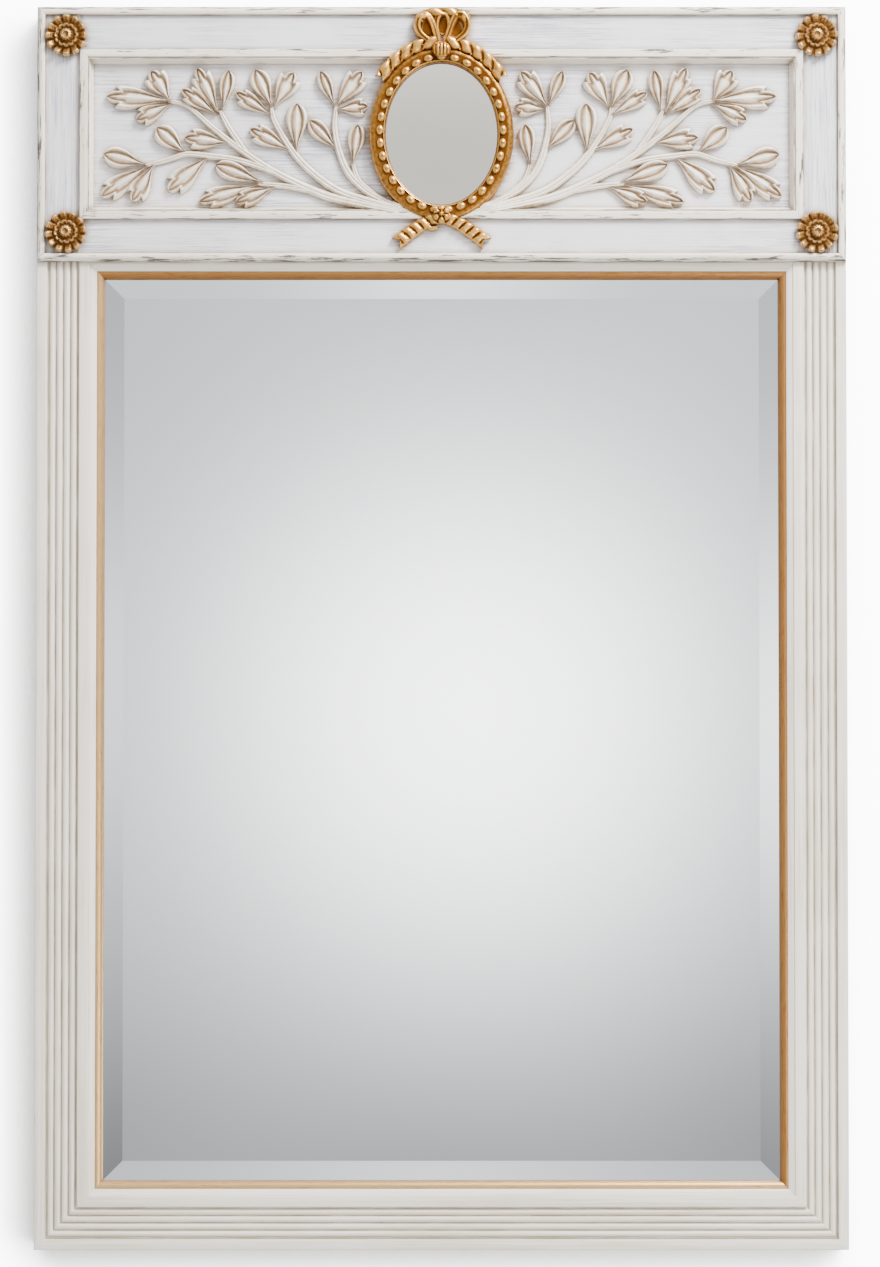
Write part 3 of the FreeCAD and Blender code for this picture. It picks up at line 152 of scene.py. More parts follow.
class OrnamentSizes(bpy.types.PropertyGroup):
    """Carved ornament"""

    petal_count: whole("Petals", "Petals in a rosette", 12)
    petal_notch: amount("Petal notch", "Depth of the notches between petals", 0.13)
    rosette_twist: plain("Rosette twist", "How much further each rosette is turned", 0.07, "ROTATION")
    rosette_foot: length("Rosette foot", "Diameter of the foot that a rosette stands on", 34)
    rosette_foot_height: length("Rosette foot height", "Height of that foot", 4.6)
    pearl_count: whole("Pearls", "Pearls round the oval frame", 33)
    pearl_length: length("Pearl length", "Length of a pearl along its row", 10.6)
    pearl_width: length("Pearl width", "Width of a pearl across its row", 7.4)
    oval_band: length("Oval band", "Width of the oval frame's round outer band", 7.2)
    oval_lip: length("Oval lip", "Width of the oval frame's inner lip", 2.2)
    oval_width: length("Oval section", "Width of the oval frame's section", 16.5)
    oval_rebate: length("Oval rebate", "Inset of the rebate behind the oval frame", 11.5)
    bow_rise: length("Bow rise", "Height of the bow above its board", 12)
    ribbon_band: length("Ribbon band", "Width of the ribbon in a loop", 7.4)
    loop_edge: length("Loop edge", "Height that a loop's relief starts from", 3)
    middle_drop: length("Middle loop drop", "How much lower the middle loop is", 2.2)
    side_ground: length("Side ground", "Width of the ground that closes an outer loop", 12.8)
    middle_ground: length("Middle ground", "Width of the ground that closes the middle loop", 10.4)
    ground_stretch: length("Ground stretch", "How much further each ground reaches up and down", 3.5)
    ground_rise: length("Ground rise", "Height of the ground above the board", 2.4)
    knot_drop: length("Knot drop", "How far the knot lies below the oval frame's top", 4)
    knot_width: length("Knot width", "Width of the bow's knot", 19)
    knot_height: length("Knot height", "Height of the bow's knot", 17)
    knot_edge: length("Knot edge", "Height of the knot's edge above the board", 7)
    drape_width: length("Drape width", "Width of the ribbon draped over the loops", 10.5)
    drape_rise: length("Drape rise", "Height of that ribbon between its folds", 9)
    drape_fold: length("Drape fold", "Height of the folds in that ribbon", 3.4)
    drape_folds: whole("Drape folds", "Folds in that ribbon", 4)
    tail_width: length("Tail width", "Width of the bow's tails", 13.5)
    tail_lift: length("Tail lift", "How far outside the oval frame a tail's middle line lies", 4.59)
    tail_rise: length("Tail rise", "Height of a tail between its folds", 6.4)
    tail_fold: length("Tail fold", "Height of the folds in a tail", 3.6)
    tail_folds: whole("Tail folds", "Folds in a tail", 5)
    tail_lead: length("Tail lead", "How far the corners of a tail's end lead", 4)
    end_width: length("Ribbon end width", "Width of the crossed ribbon ends", 14)
    end_reach: length("Ribbon end reach", "How far the crossed ends reach", 52)
    end_rise: length("Ribbon end rise", "Height of a crossed end between its folds", 5.2)
    end_fold: length("Ribbon end fold", "Height of the folds in a crossed end", 2.8)
    end_folds: whole("Ribbon end folds", "Folds in a crossed end", 7)
    end_lead: length("Ribbon end lead", "How far the corners of a crossed end lead", 5)
    curl_width: length("Curl width", "Width of the small curl under the flower", 6)
    curl_rise: length("Curl rise", "Height of that curl", 7.5)
    leaf_width: length("Leaf width", "Width of the widest leaves", 21.5)
    leaf_relief: length("Leaf relief", "Height of a leaf's rim above the panel", 7)
    stem_width: length("Stem width", "Width of a stem", 7.2)
    stem_relief: length("Stem relief", "Height of a stem above the panel", 5.4)
    stem_rise: plain("Stem rise", "Most of that height where a stem meets the oval, as a share", 2.35)
    stem_groove: length("Stem groove", "Depth of the groove along a stem", 1.1)
    stem_lap: length("Stem lap", "How far a stem runs under the oval frame's edge", 1.5)
    stem_beside: length("Stem beside", "How near the oval frame a stem is kept lower", 9)


class HangerSizes(bpy.types.PropertyGroup):
    """Hanging gear on the back"""

    wire: length("Ring wire", "Diameter of the ring's wire", 3.2)
    inside_width: length("Ring inside width", "Clear width inside the ring", 20)
    leg: length("Ring leg", "Straight length of each side of the ring", 6)
    corner: length("Ring corner", "Radius of the ring's lower corners", 2.8)


class FinishColours(bpy.types.PropertyGroup):
    """Colours and wear of every surface"""

    paint: colour("Paint", "Off-white paint", 245, 235, 219)
    paint_shade: colour("Paint shade", "Greyer strokes of the same paint", 224, 213, 196)
    board_paint: colour("Board paint", "Cooler paint of the header boards", 236, 232, 232)
    board_shade: colour("Board shade", "Greyer strokes of the header boards", 210, 207, 210)
    scuff: colour("Scuff", "Blue-grey dry strokes on the boards", 150, 155, 176)
    undercoat: colour("Undercoat", "What shows where the paint is rubbed", 92, 86, 76)
    # Grime and beige glaze also stand in for shade: they darken hollows where shade falls.
    grime_and_shade: colour("Grime", "Old wax and dust in the hollows", 126, 106, 76)
    beige_glaze_and_shade: colour("Beige", "Glaze in the hollows of the carving", 142, 108, 66)
    gold: colour("Gold", "Gilding", 116, 71, 19)
    # The lighter gold is partly burnish and partly a painted highlight on the crests.
    gold_burnish_and_highlight: colour("Gold light", "Burnished gilding", 227, 172, 89)
    # Darker gilding on the right and top slips is painted shade; the pale gilding is the rosettes' own paler
    # gold and painted light on the left and bottom slips.
    dark_gold: colour("Dark gold", "Gilding of the right and top slips", 88, 54, 24)
    dark_gold_light: colour("Dark gold light", "Rubbed gilding of these slips", 178, 126, 72)
    pale_and_lit_gold: colour("Pale gold", "Gilding of the rosettes and of the left and bottom slips", 140, 100, 48)
    pale_and_lit_gold_highlight: colour("Pale gold light", "Rubbed gilding of these", 198, 160, 108)
    # Also painted shade: this brown darkens the gilding's hollows where shade falls.
    glaze: colour("Glaze", "Brown glaze in the gilding's hollows", 74, 42, 14)
    bole: colour("Bole", "Red-brown ground under the gilding", 128, 66, 26)
    silver: colour("Silver", "Silvering behind the glass", 232, 230, 247)
    old_silver: colour("Old silver", "Warmer silvering behind the oval glass", 238, 232, 220)
    board: colour("Board", "Brown pressed board", 132, 100, 66)
    pine: colour("Pine", "Bare pine", 205, 168, 118)
    pine_grain: colour("Pine grain", "Darker grain of the pine", 184, 142, 92)
    zinc: colour("Zinc", "Zinc plate on steel", 138, 140, 140)
    paint_wear: amount("Paint wear", "How much of the frame's arrises is rubbed", 0.18)
    bead_wear: amount("Bead wear", "How much of the header's beads and mouldings is rubbed", 0.53)
    gold_wear: amount("Gold wear", "How much of the gilding is rubbed", 0.3)
    scuffing: amount("Scuffing", "Strength of the dry strokes on the boards", 0.85)
    # These strengths of grime and glaze also set how much painted shade the hollows take.
    frame_grime_and_shade: amount("Frame grime", "Strength of the grime on the reeded frame", 0.62)
    header_grime_and_shade: amount("Header grime", "Strength of the grime on the header", 0.95)
    carving_glaze_and_shade: amount("Carving glaze", "Strength of the glaze in the carving", 0.9)
    # These strengths of the glaze also set how much painted shade the gilding's hollows take.
    gold_glaze_and_shade: amount("Gold glazing", "Strength of the brown glaze on the gilding", 1.0)
    pale_glaze_and_shade: amount("Pale glazing", "Strength of the brown glaze on the pale gilding", 0.45)
    gold_shine: amount("Gold shine", "How metallic the gilding looks", 0.86)
    pale_shine: amount("Pale shine", "How metallic the pale gilding looks", 0.7)


class StageSettings(bpy.types.PropertyGroup):
    """Camera, lights, wall and floor"""

    image_height: whole("Image height", "Height of the picture in pixels", 1267)
    pixel: length("Pixel", "Size of one pixel at the frame's front", 1)
    centre_x: length("Picture centre across", "Where the middle of the picture lies", -1.5)
    centre_z: length("Picture centre height", "Height of the middle of the picture", 614)
    distance: length("Camera distance", "From the camera to the frame's front", 3300)
    pitch: angle("Camera pitch", "How far the camera looks up", 1.5)
    key_power: plain("Key light", "Power of the key light in watts", 130, "POWER")
    fill_power: plain("Fill light", "Power of the low fill light in watts", 20, "POWER")
    sky_strength: plain("Room light", "Strength of the room's even light", 0.97)
    wall: colour("Wall", "Wall and floor", 247, 246, 244)
    wall_glow: plain("Wall glow", "How brightly the wall glows by itself", 9)
    floor_glow: plain("Floor glow", "How brightly the floor glows by itself", 2.25)
    wall_gap: length("Wall gap", "Gap between the mirror and the wall", 2)
    wall_reach: length("Wall reach", "How far the wall reaches to each side", 2600)
    floor_drop: length("Floor drop", "How far the floor lies below the mirror", 320)
    floor_depth: length("Floor depth", "How far the floor reaches from the wall", 800)


class MirrorSettings(bpy.types.PropertyGroup):
    """All settings of the wall mirror"""

    frame_sizes: PointerProperty(type=FrameSizes)
    header: PointerProperty(type=HeaderSizes)
    ornament: PointerProperty(type=OrnamentSizes)
    hanger: PointerProperty(type=HangerSizes)
    finish: PointerProperty(type=FinishColours)
    stage: PointerProperty(type=StageSettings)


# Leaves on the left half of the panel. Across is the distance from the centre line as a share of half
# the panel's open width, and up is the height above its bottom edge as a share of its open height:
# foot across, foot up, tip across, tip up, the leaf's width as a share of the widest, and its lobes.
LEAF_SHARES = [
    (0.777, 0.743, 0.956, 0.769, 1.10, 3),
    (0.781, 0.741, 0.833, 0.940, 1.10, 3),
    (0.777, 0.721, 0.873, 0.610, 0.88, 3),
    (0.643, 0.659, 0.701, 0.955, 0.98, 3),
    (0.646, 0.645, 0.742, 0.813, 0.84, 3),
    (0.629, 0.672, 0.611, 0.950, 0.72, 1),
    (0.611, 0.447, 0.733, 0.482, 0.98, 3),
    (0.736, 0.375, 0.819, 0.552, 1.00, 1),
    (0.850, 0.296, 0.970, 0.369, 1.00, 1),
    (0.844, 0.286, 0.972, 0.082, 1.00, 3),
    (0.827, 0.293, 0.887, 0.050, 0.98, 3),
    (0.670, 0.351, 0.781, 0.121, 1.08, 3),
    (0.513, 0.169, 0.649, 0.293, 0.94, 1),
    (0.524, 0.155, 0.690, 0.040, 0.94, 3),
    (0.479, 0.141, 0.587, 0.035, 0.84, 3),
    (0.488, 0.638, 0.587, 0.792, 0.80, 3),
    (0.488, 0.693, 0.535, 0.955, 0.98, 1),
    (0.481, 0.693, 0.427, 0.928, 1.08, 3),
    (0.418, 0.385, 0.415, 0.721, 1.00, 1),
    (0.435, 0.397, 0.546, 0.539, 0.92, 3),
    (0.307, 0.700, 0.348, 0.945, 0.67, 1),
    (0.304, 0.700, 0.231, 0.934, 1.05, 3),
    (0.300, 0.679, 0.215, 0.700, 0.86, 3),
    (0.300, 0.400, 0.380, 0.602, 0.83, 1),
    (0.255, 0.293, 0.240, 0.574, 0.80, 1),
]

# Stems, each from its leafy end towards the knot: across and up as above, then shares of the stem's
# width and relief. The last points of the long stems climb over the panel moulding.
STEM_SHARES = [
    [(0.785, 0.738, 0.5, 0.7), (0.728, 0.700, 0.6, 0.8), (0.655, 0.546, 0.8, 0.9), (0.576, 0.397, 0.9, 1.0),
     (0.479, 0.243, 1.0, 1.0), (0.342, 0.088, 1.2, 1.0), (0.210, 0.003, 1.1, 1.9), (0.119, -0.045, 1.0, 2.9),
     (0.070, -0.077, 0.8, 3.0)],
    [(0.636, 0.670, 0.5, 0.7), (0.611, 0.552, 0.8, 0.8), (0.562, 0.375, 0.9, 0.9)],
    [(0.852, 0.285, 0.5, 0.7), (0.787, 0.328, 0.7, 0.8), (0.733, 0.369, 0.8, 0.9), (0.667, 0.355, 0.9, 0.9),
     (0.576, 0.321, 0.9, 1.0), (0.470, 0.235, 0.9, 1.0)],
    [(0.528, 0.162, 0.6, 0.7), (0.444, 0.144, 0.8, 0.9), (0.360, 0.105, 0.8, 0.9)],
    [(0.488, 0.693, 0.5, 0.7), (0.482, 0.610, 0.7, 0.8), (0.441, 0.433, 0.9, 0.9), (0.386, 0.272, 1.0, 1.0),
     (0.299, 0.116, 1.1, 1.0), (0.199, 0.031, 1.1, 1.6), (0.119, -0.021, 1.0, 2.9),
     (0.070, -0.055, 0.8, 3.0)],
    [(0.303, 0.705, 0.5, 0.7), (0.306, 0.514, 0.8, 0.9), (0.276, 0.272, 1.0, 1.0), (0.221, 0.121, 1.0, 1.0),
     (0.161, 0.038, 1.0, 1.5), (0.110, -0.005, 0.9, 2.9), (0.067, -0.036, 0.7, 3.0)],
    [(0.255, 0.300, 0.5, 0.7), (0.237, 0.179, 0.8, 0.9), (0.190, 0.080, 0.8, 1.0)],
]

# Outlines of a leaf with one tip and with three: where a row leaves the vein, where it ends along the
# leaf, and how far out, as shares of the leaf's length and half width.
LEAF_OUTLINES = {
    1: [(0.00, 0.00, 0.10), (0.14, 0.20, 0.26), (0.30, 0.40, 0.66), (0.48, 0.60, 0.97), (0.66, 0.79, 0.97),
        (0.83, 0.93, 0.62), (1.00, 1.00, 0.03)],
    3: [(0.00, 0.00, 0.10), (0.13, 0.20, 0.26), (0.27, 0.42, 0.66), (0.40, 0.62, 0.96), (0.50, 0.79, 1.05),
        (0.58, 0.90, 0.93), (0.69, 0.85, 0.60), (0.80, 0.94, 0.50), (0.91, 1.01, 0.30), (1.00, 1.04, 0.03)],
}

# Section of a rosette along a petal and between two: distance from the centre, height on the petal and
# height between petals, as shares of the radius and height.
ROSETTE_SHARES = [
    (0.00, 0.84, 0.84), (0.08, 0.89, 0.89), (0.17, 1.00, 1.00), (0.25, 0.93, 0.93), (0.31, 0.64, 0.64),
    (0.37, 0.52, 0.52), (0.43, 0.64, 0.64), (0.50, 0.72, 0.72), (0.56, 0.62, 0.62), (0.61, 0.38, 0.38),
    (0.69, 0.50, 0.34), (0.79, 0.66, 0.33), (0.88, 0.76, 0.33), (0.95, 0.68, 0.32), (1.00, 0.48, 0.32),
]

# Loops of the bow and the ribbon draped over them: across and up from the knot as shares of the bow's
# height, from the knot out and round.
LOOP_SHARES = [
    [(-0.08, 0.10), (-0.30, 0.22), (-0.50, 0.38), (-0.575, 0.58), (-0.50, 0.79), (-0.33, 0.83), (-0.20, 0.62),
     (-0.12, 0.34), (-0.05, 0.12)],
    [(0.08, 0.10), (0.32, 0.22), (0.53, 0.38), (0.61, 0.58), (0.53, 0.78), (0.37, 0.82), (0.25, 0.62),
     (0.15, 0.34), (0.06, 0.12)],
    [(-0.04, 0.12), (-0.10, 0.34), (-0.14, 0.60), (-0.08, 0.82), (0.05, 0.90), (0.17, 0.82), (0.21, 0.60),
     (0.14, 0.34), (0.05, 0.12)],
]
DRAPE_SHARES = [
    (-0.53, 0.70), (-0.42, 0.82), (-0.20, 0.885), (0.05, 0.90), (0.30, 0.885), (0.50, 0.82), (0.61, 0.70),
]

# Middle line of the left tail: how far round the oval from its top, as shares of a full turn.
TAIL_SHARES = [0.010, 0.038, 0.064, 0.090, 0.116, 0.142]

# Middle line of a crossed ribbon end from the flower, as shares of its reach.
RIBBON_SHARES = [
    (0.20, -0.03), (0.02, -0.05), (-0.16, -0.08), (-0.34, -0.16), (-0.50, -0.26), (-0.66, -0.37),
    (-0.80, -0.48),
]

# Middle line of the small curl from the flower, in millimetres.
CURL_POINTS = [(-15, -8), (-11, -13), (-4, -12)]

# Lighter and darker parts of the room: azimuth and elevation from straight ahead, spread, all in
# degrees, and how much light is added or taken away there.
ROOM_PATCHES = [
    # Light from above, on the carving
    (35.0, 55.0, 28.0, 1.6),
    # Glow and bright middle of the large glass
    (0.0, 0.0, 16.0, 0.24), (0.6, 0.2, 2.8, 4.7),
    # Its darker foot and lower corners
    (0.0, -9.5, 3.2, -0.68), (-8.0, -8.0, 3.0, -0.3), (8.0, -8.0, 3.0, -0.3),
    # Its top and bottom bevels
    (0.0, 13.6, 1.6, 1.1), (0.0, -14.0, 2.5, 0.9),
    # Its left and right bevels
    (-11.6, 0.7, 2.0, 0.7), (-11.6, 8.0, 3.0, -0.4), (11.6, 0.0, 2.3, 2.0), (11.6, 8.0, 3.0, -0.4),
    (-11.6, -8.5, 3.2, -0.65), (11.6, -8.5, 3.2, -0.6),
    # Its corners inside the bevels
    (-5.3, -7.0, 2.0, -0.14), (5.3, -7.0, 2.0, -0.22), (-5.3, 7.0, 2.0, -0.1),
    # The oval mirror
    (0.0, 10.0, 1.8, -0.3),
]
SKY_COLOUR = (0.985, 0.99, 1.0, 1)

# The size and place of each lamp, and the point that both shine at, in metres.
LAMPS = {"key": (0.65, (1.0, -1.15, 2.5)), "fill": (0.8, (1.2, -1.5, -0.1))}
LAMP_AIM = (0, 0, 0.7)

# The way to the light that the mirror shades the wall from, and how far that shade reaches, in metres.
SHADE_WAY = (0.62, -0.40, 0.68)
SHADE_REACH = 0.055

# Corners flatter than this stay as they are when a section is eased, and an eased corner takes no more
# than this share of each edge beside it.
FLAT_CORNER = math.radians(150)
EASED_SHARE = 0.4

# Steps round a hanger ring's wire, round its bend and round each of its corners.
WIRE_STEPS = 20
BEND_STEPS = 32
CORNER_STEPS = 8

# Edges sharper than this stay sharp in the shading.
SHARP_EDGE = math.radians(40)

# The sides of a frame, and the way the wood of each runs.
SIDE_RUNS = {"left": "upright", "right": "upright", "bottom": "level", "top": "level"}


def front_level(node):
    """How far a node's front stands from the wall plane."""
    return -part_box(node)[0].y


def back_level(node):
    """How far a node's back stands from the wall plane."""
    return -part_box(node)[1].y


def at(x, level, z):
    """The point at this place and level."""
    return Vector((x, -level, z))


def smooth_line(points, steps):
    """Points along a smooth curve through the given ones, in any number of dimensions."""
    line = []
    for number in range(len(points) - 1):
        near = [points[min(max(number + offset, 0), len(points) - 1)] for offset in (-1, 0, 1, 2)]
        for step in range(steps):
            t = step / steps
            line.append([
                (2 * b + (c - a) * t + (2 * a - 5 * b + 4 * c - d) * t ** 2
                 + (3 * b - a - 3 * c + d) * t ** 3) / 2
                for a, b, c, d in zip(*near)
            ])
    return line + [list(points[-1])]


def table_share(table, distance, column):
    """A smooth share from a table, at a distance."""
    for near, far in zip(table, table[1:]):
        if distance <= far[0]:
            part = ease((distance - near[0]) / (far[0] - near[0]))
            return near[column] + (far[column] - near[column]) * part
    return table[-1][column]


def ease(share):
    """A share that starts and ends slowly."""
    return (1 - math.cos(math.pi * min(max(share, 0), 1))) / 2


def hill(distance, spread):
    """1 at its middle, falling smoothly to nothing on both sides."""
    return math.exp(-(distance / spread) ** 2)


def directions(line):
    """Unit directions of a line of (x, z) points."""
    found = []
    for number in range(len(line)):
        before = Vector(line[max(number - 1, 0)][:2])
        after = Vector(line[min(number + 1, len(line) - 1)][:2])
        found.append((after - before).normalized())
    return found


# Sections and straight lengths of moulding


def arc(start, end, radius, steps=8):
    """Points of an arc between two (inset, level) points: it bulges to the front where the radius is
    positive and to the back where it is negative."""
    start, end = Vector(start), Vector(end)
    chord = end - start
    normal = Vector((-chord.y, chord.x)).normalized()
    if normal.y < 0:
        normal = -normal
    sign = math.copysign(1, radius)
    drop = math.sqrt(radius ** 2 - (chord.length / 2) ** 2)
    centre = (start + end) / 2 - normal * drop * sign
    turn = (start - centre).angle_signed(end - centre)
    points = []
    for step in range(steps + 1):
        spoke = start - centre
        part = -turn * step / steps
        points.append((centre.x + spoke.x * math.cos(part) - spoke.y * math.sin(part),
                       centre.y + spoke.x * math.sin(part) + spoke.y * math.cos(part)))
    return points


def eased(section, reach, steps=3):
    """A closed section whose sharp corners are rounded over."""
    points = []
    for number, corner in enumerate(section):
        here = Vector(corner)
        before = Vector(section[number - 1])
        after = Vector(section[(number + 1) % len(section)])
        back, forth = before - here, after - here
        if back.length < MM / 100 or forth.length < MM / 100:
            continue
        if back.angle(forth) > FLAT_CORNER:
            points.append(tuple(here))
            continue
        start = here + back * min(reach / back.length, EASED_SHARE)
        end = here + forth * min(reach / forth.length, EASED_SHARE)
        for step in range(steps + 1):
            t = step / steps
            points.append(tuple(start * (1 - t) ** 2 + here * 2 * t * (1 - t) + end * t ** 2))
    return points


def on_side(side, foot, top):
    """Places (inset, level, along) points on one side of an upright frame as wide as the mirror."""
    half = cad_high.x
    places = {
        "left": lambda inset, level, along: at(-half + inset, level, foot + along),
        "right": lambda inset, level, along: at(half - inset, level, foot + along),
        "bottom": lambda inset, level, along: at(-half + along, level, foot + inset),
        "top": lambda inset, level, along: at(-half + along, level, top - inset),
    }
    return places[side]


def member(section, place, start, end):
    """A straight length of moulding. Start and end give where it is cut at each inset."""
    count = len(section)
    points = [place(inset, level, cut(inset)) for cut in (start, end) for inset, level in section]
    faces = [(n, (n + 1) % count, (n + 1) % count + count, n + count) for n in range(count)]
    return points, faces + [tuple(range(count)), tuple(range(count, 2 * count))]


def mitred(section, side, foot, top):
    """One mitred side of a frame as wide as the mirror."""
    reach = top - foot if side in ("left", "right") else 2 * cad_high.x
    return member(section, on_side(side, foot, top), lambda inset: inset, lambda inset: reach - inset)


# Carved forms


def carve(rows, top, low, columns=12):
    """A closed carving with a flat back. A row is its place on the middle line (x, z), the direction
    of the line there, its half width and how far its ends lead. Top gives the level at shares
    (along, across)."""
    points = []
    for number, (x, z, along, half, lead) in enumerate(rows):
        share = number / (len(rows) - 1)
        side = Vector((-along.y, along.x))
        for column in range(columns + 1):
            across = 2 * column / columns - 1
            spot = Vector((x, z)) + side * half * across + along * lead * abs(across)
            points.append(at(spot.x, max(top(share, across), low + MM / 10), spot.y))
    width = columns + 1
    last = len(rows) - 1
    faces = []
    for row in range(last):
        for column in range(columns):
            corner = row * width + column
            faces.append((corner, corner + 1, corner + 1 + width, corner + width))
    border = list(range(columns)) + [row * width + columns for row in range(last)]
    border += [last * width + column for column in range(columns, 0, -1)]
    border += [row * width for row in range(last, 0, -1)]
    return close_back(points, faces, border, low)


def close_back(points, faces, border, low):
    """Closes a carving with walls from its border to a flat back."""
    base = len(points)
    points = points + [at(points[number].x, low, points[number].z) for number in border]
    for number, corner in enumerate(border):
        follow = (number + 1) % len(border)
        faces.append((corner, border[follow], base + follow, base + number))
    return points, faces + [tuple(range(base, base + len(border)))]


def turned(x, z, radius, top, low, spokes, rings, foot=None):
    """A closed round carving. Radius gives its reach at an angle, clockwise from the top, and top the
    level at a share of that reach and an angle. Foot is the radius and height of a smaller foot."""
    points = []
    turns = [math.tau * spoke / spokes for spoke in range(spokes)]
    for ring in range(rings):
        share = 1 - ring / rings
        for turn in turns:
            reach = radius(turn) * share
            points.append(at(x + math.sin(turn) * reach, top(share, turn), z + math.cos(turn) * reach))
    points.append(at(x, top(0, 0), z))
    faces = []
    for ring in range(rings - 1):
        for spoke in range(spokes):
            follow = (spoke + 1) % spokes
            faces.append((ring * spokes + spoke, ring * spokes + follow, (ring + 1) * spokes + follow,
                          (ring + 1) * spokes + spoke))
    centre = rings * spokes
    faces += [((rings - 1) * spokes + spoke, (rings - 1) * spokes + (spoke + 1) % spokes, centre)
              for spoke in range(spokes)]
    border = list(range(spokes))
    if foot:
        for reaches, level in ((radius, low + foot[1]), (lambda turn: foot[0], low + foot[1])):
            base = len(points)
            points += [at(x + math.sin(turn) * reaches(turn), level, z + math.cos(turn) * reaches(turn))
                       for turn in turns]
            for spoke in range(spokes):
                follow = (spoke + 1) % spokes
                faces.append((border[spoke], border[follow], base + follow, base + spoke))
            border = list(range(base, base + spokes))
    return close_back(points, faces, border, low)


def swept(rings):
    """A closed tube through rings of points, joined end to end."""
    count = len(rings[0])
    points = [point for ring in rings for point in ring]
    faces = []
    for number in range(len(rings)):
        here, there = number * count, (number + 1) % len(rings) * count
        faces += [(here + n, here + (n + 1) % count, there + (n + 1) % count, there + n)
                  for n in range(count)]
    return points, faces


def oval_row(middle, half_across, half_up, count):
    """Evenly spaced places on an ellipse, the first at its top: x, z and the way along it."""
    fine = 3600
    turns = [math.tau * step / fine for step in range(fine)]
    strides = [math.hypot(math.cos(turn) * half_across, math.sin(turn) * half_up) for turn in turns]
    spacing = sum(strides) / count
    places, gone = [], 0
    for turn, stride in zip(turns, strides):
        if gone >= len(places) * spacing and len(places) < count:
            way = math.atan2(math.cos(turn) * half_across, -math.sin(turn) * half_up)
            places.append((middle.x + math.sin(turn) * half_across, middle.z + math.cos(turn) * half_up, way))
        gone += stride
    return places


def ellipse_reach(half_along, half_across, turn):
    """How far an ellipse reaches at an angle from its first axis."""
    return half_along * half_across / math.hypot(half_across * math.cos(turn), half_along * math.sin(turn))


def rows_along(points, half, lead=0):
    """Rows for carve() along (x, z) points. Half gives the half width at a share of the length."""
    last = len(points) - 1
    return [
        (x, z, along, half(number / last), lead if number == last else 0)
        for number, ((x, z), along) in enumerate(zip(points, directions(points)))
    ]


def swell(turns):
    """Round swellings with sharp valleys between them, one to each turn."""
    return abs(math.sin(math.pi * turns)) ** 0.6


def ribbon_top(low, rise, fold, count, slant):
    """The top of a gathered ribbon: swellings across it, and its edges rolled over."""
    def level(share, across):
        return low + (rise + fold * swell(count * share + slant * across)) * (1 - 0.4 * abs(across) ** 5)
    return level


def ribbon_width(width, count):
    """The half width of a gathered ribbon, which is drawn in between its swellings."""
    return lambda share: width / 2 * (0.8 + 0.2 * swell(count * share))


def gathered(line, width, low, rise, fold, folds, slant, lead=0, columns=12):
    """A gathered ribbon along a line of (x, z) points."""
    rows = rows_along(line, ribbon_width(width, folds), lead)
    return carve(rows, ribbon_top(low, rise, fold, folds, slant), low, columns)


# Pieces and their finish


def mark_relief(mesh, gain, passes):
    """Stores how far each point stands out (positive) or lies in a hollow (negative)."""
    places = np.zeros(len(mesh.vertices) * 3)
    mesh.vertices.foreach_get("co", places)
    normals = np.zeros(len(mesh.vertices) * 3)
    mesh.vertex_normals.foreach_get("vector", normals)
    ends = np.zeros(len(mesh.edges) * 2, int)
    mesh.edges.foreach_get("vertices", ends)
    places, normals, ends = places.reshape(-1, 3), normals.reshape(-1, 3), ends.reshape(-1, 2)
    both_ways = ((ends[:, 0], ends[:, 1]), (ends[:, 1], ends[:, 0]))
    count = np.zeros(len(places))
    relief = np.zeros(len(places))
    for here, there in both_ways:
        step = places[there] - places[here]
        reach = np.maximum(np.linalg.norm(step, axis=1), SHORTEST)
        np.add.at(relief, here, -(step * normals[here]).sum(1) / reach)
        np.add.at(count, here, 1)
    relief = np.clip(relief / np.maximum(count, 1) * gain, -1, 1)
    for _ in range(passes):
        total = relief.copy()
        for here, there in both_ways:
            np.add.at(total, here, relief[there])
        relief = total / (count + 1)
    attribute = mesh.attributes.new("relief", "FLOAT", "POINT")
    attribute.data.foreach_set("value", relief.astype(np.float32))


def add_piece(node, parts, material, body="mirror", gain=6, passes=0):
    """One piece of the scene from closed parts, in the place of a node. Gain and passes are how
    strongly its relief is marked, and how often that is smoothed."""
    name = f"finished_{node}"
    points, faces = [], []
    for part_points, part_faces in parts:
        faces += [tuple(corner + len(points) for corner in face) for face in part_faces]
        points += part_points
    mesh = bpy.data.meshes.new(name)
    mesh.from_pydata([tuple(point) for point in points], [], faces)
    shape = bmesh.new()
    shape.from_mesh(mesh)
    bmesh.ops.recalc_face_normals(shape, faces=shape.faces)
    shape.to_mesh(mesh)
    shape.free()
    mesh.shade_smooth()
    mesh.set_sharp_from_angle(angle=SHARP_EDGE)
    mark_relief(mesh, gain, passes)
    mesh.materials.append(material)
    piece = bpy.data.objects.new(name, mesh)
    bpy.context.scene.collection.objects.link(piece)
    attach(piece, body)
    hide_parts(node)


def add_gilt_piece(node, parts):
    """One carved and gilded piece of the bow or of the crossed ribbon ends."""
    add_piece(node, parts, gilding(), gain=7, passes=1)


def finish_node(node, material):
    """Gives a node of the frame its finish."""
    thing = frame["nodes"][node]
    if not thing.material_slots:
        thing.data.materials.append(None)
    for place in thing.material_slots:
        place.link = "OBJECT"
        place.material = material


# Shader nodes and the effects that materials share


def add_node(tree, kind, inputs=(), **settings):
    """Adds a shader node. Inputs are values or sockets by name or number."""
    node = tree.nodes.new(kind)
    for name, value in settings.items():
        setattr(node, name, value)
    fill_inputs(tree, node, dict(inputs))
    return node


def fill_inputs(tree, node, inputs):
    """Fills the inputs of a node, given by name or number."""
    for name, value in inputs.items():
        fill_socket(tree, node.inputs[name], value)


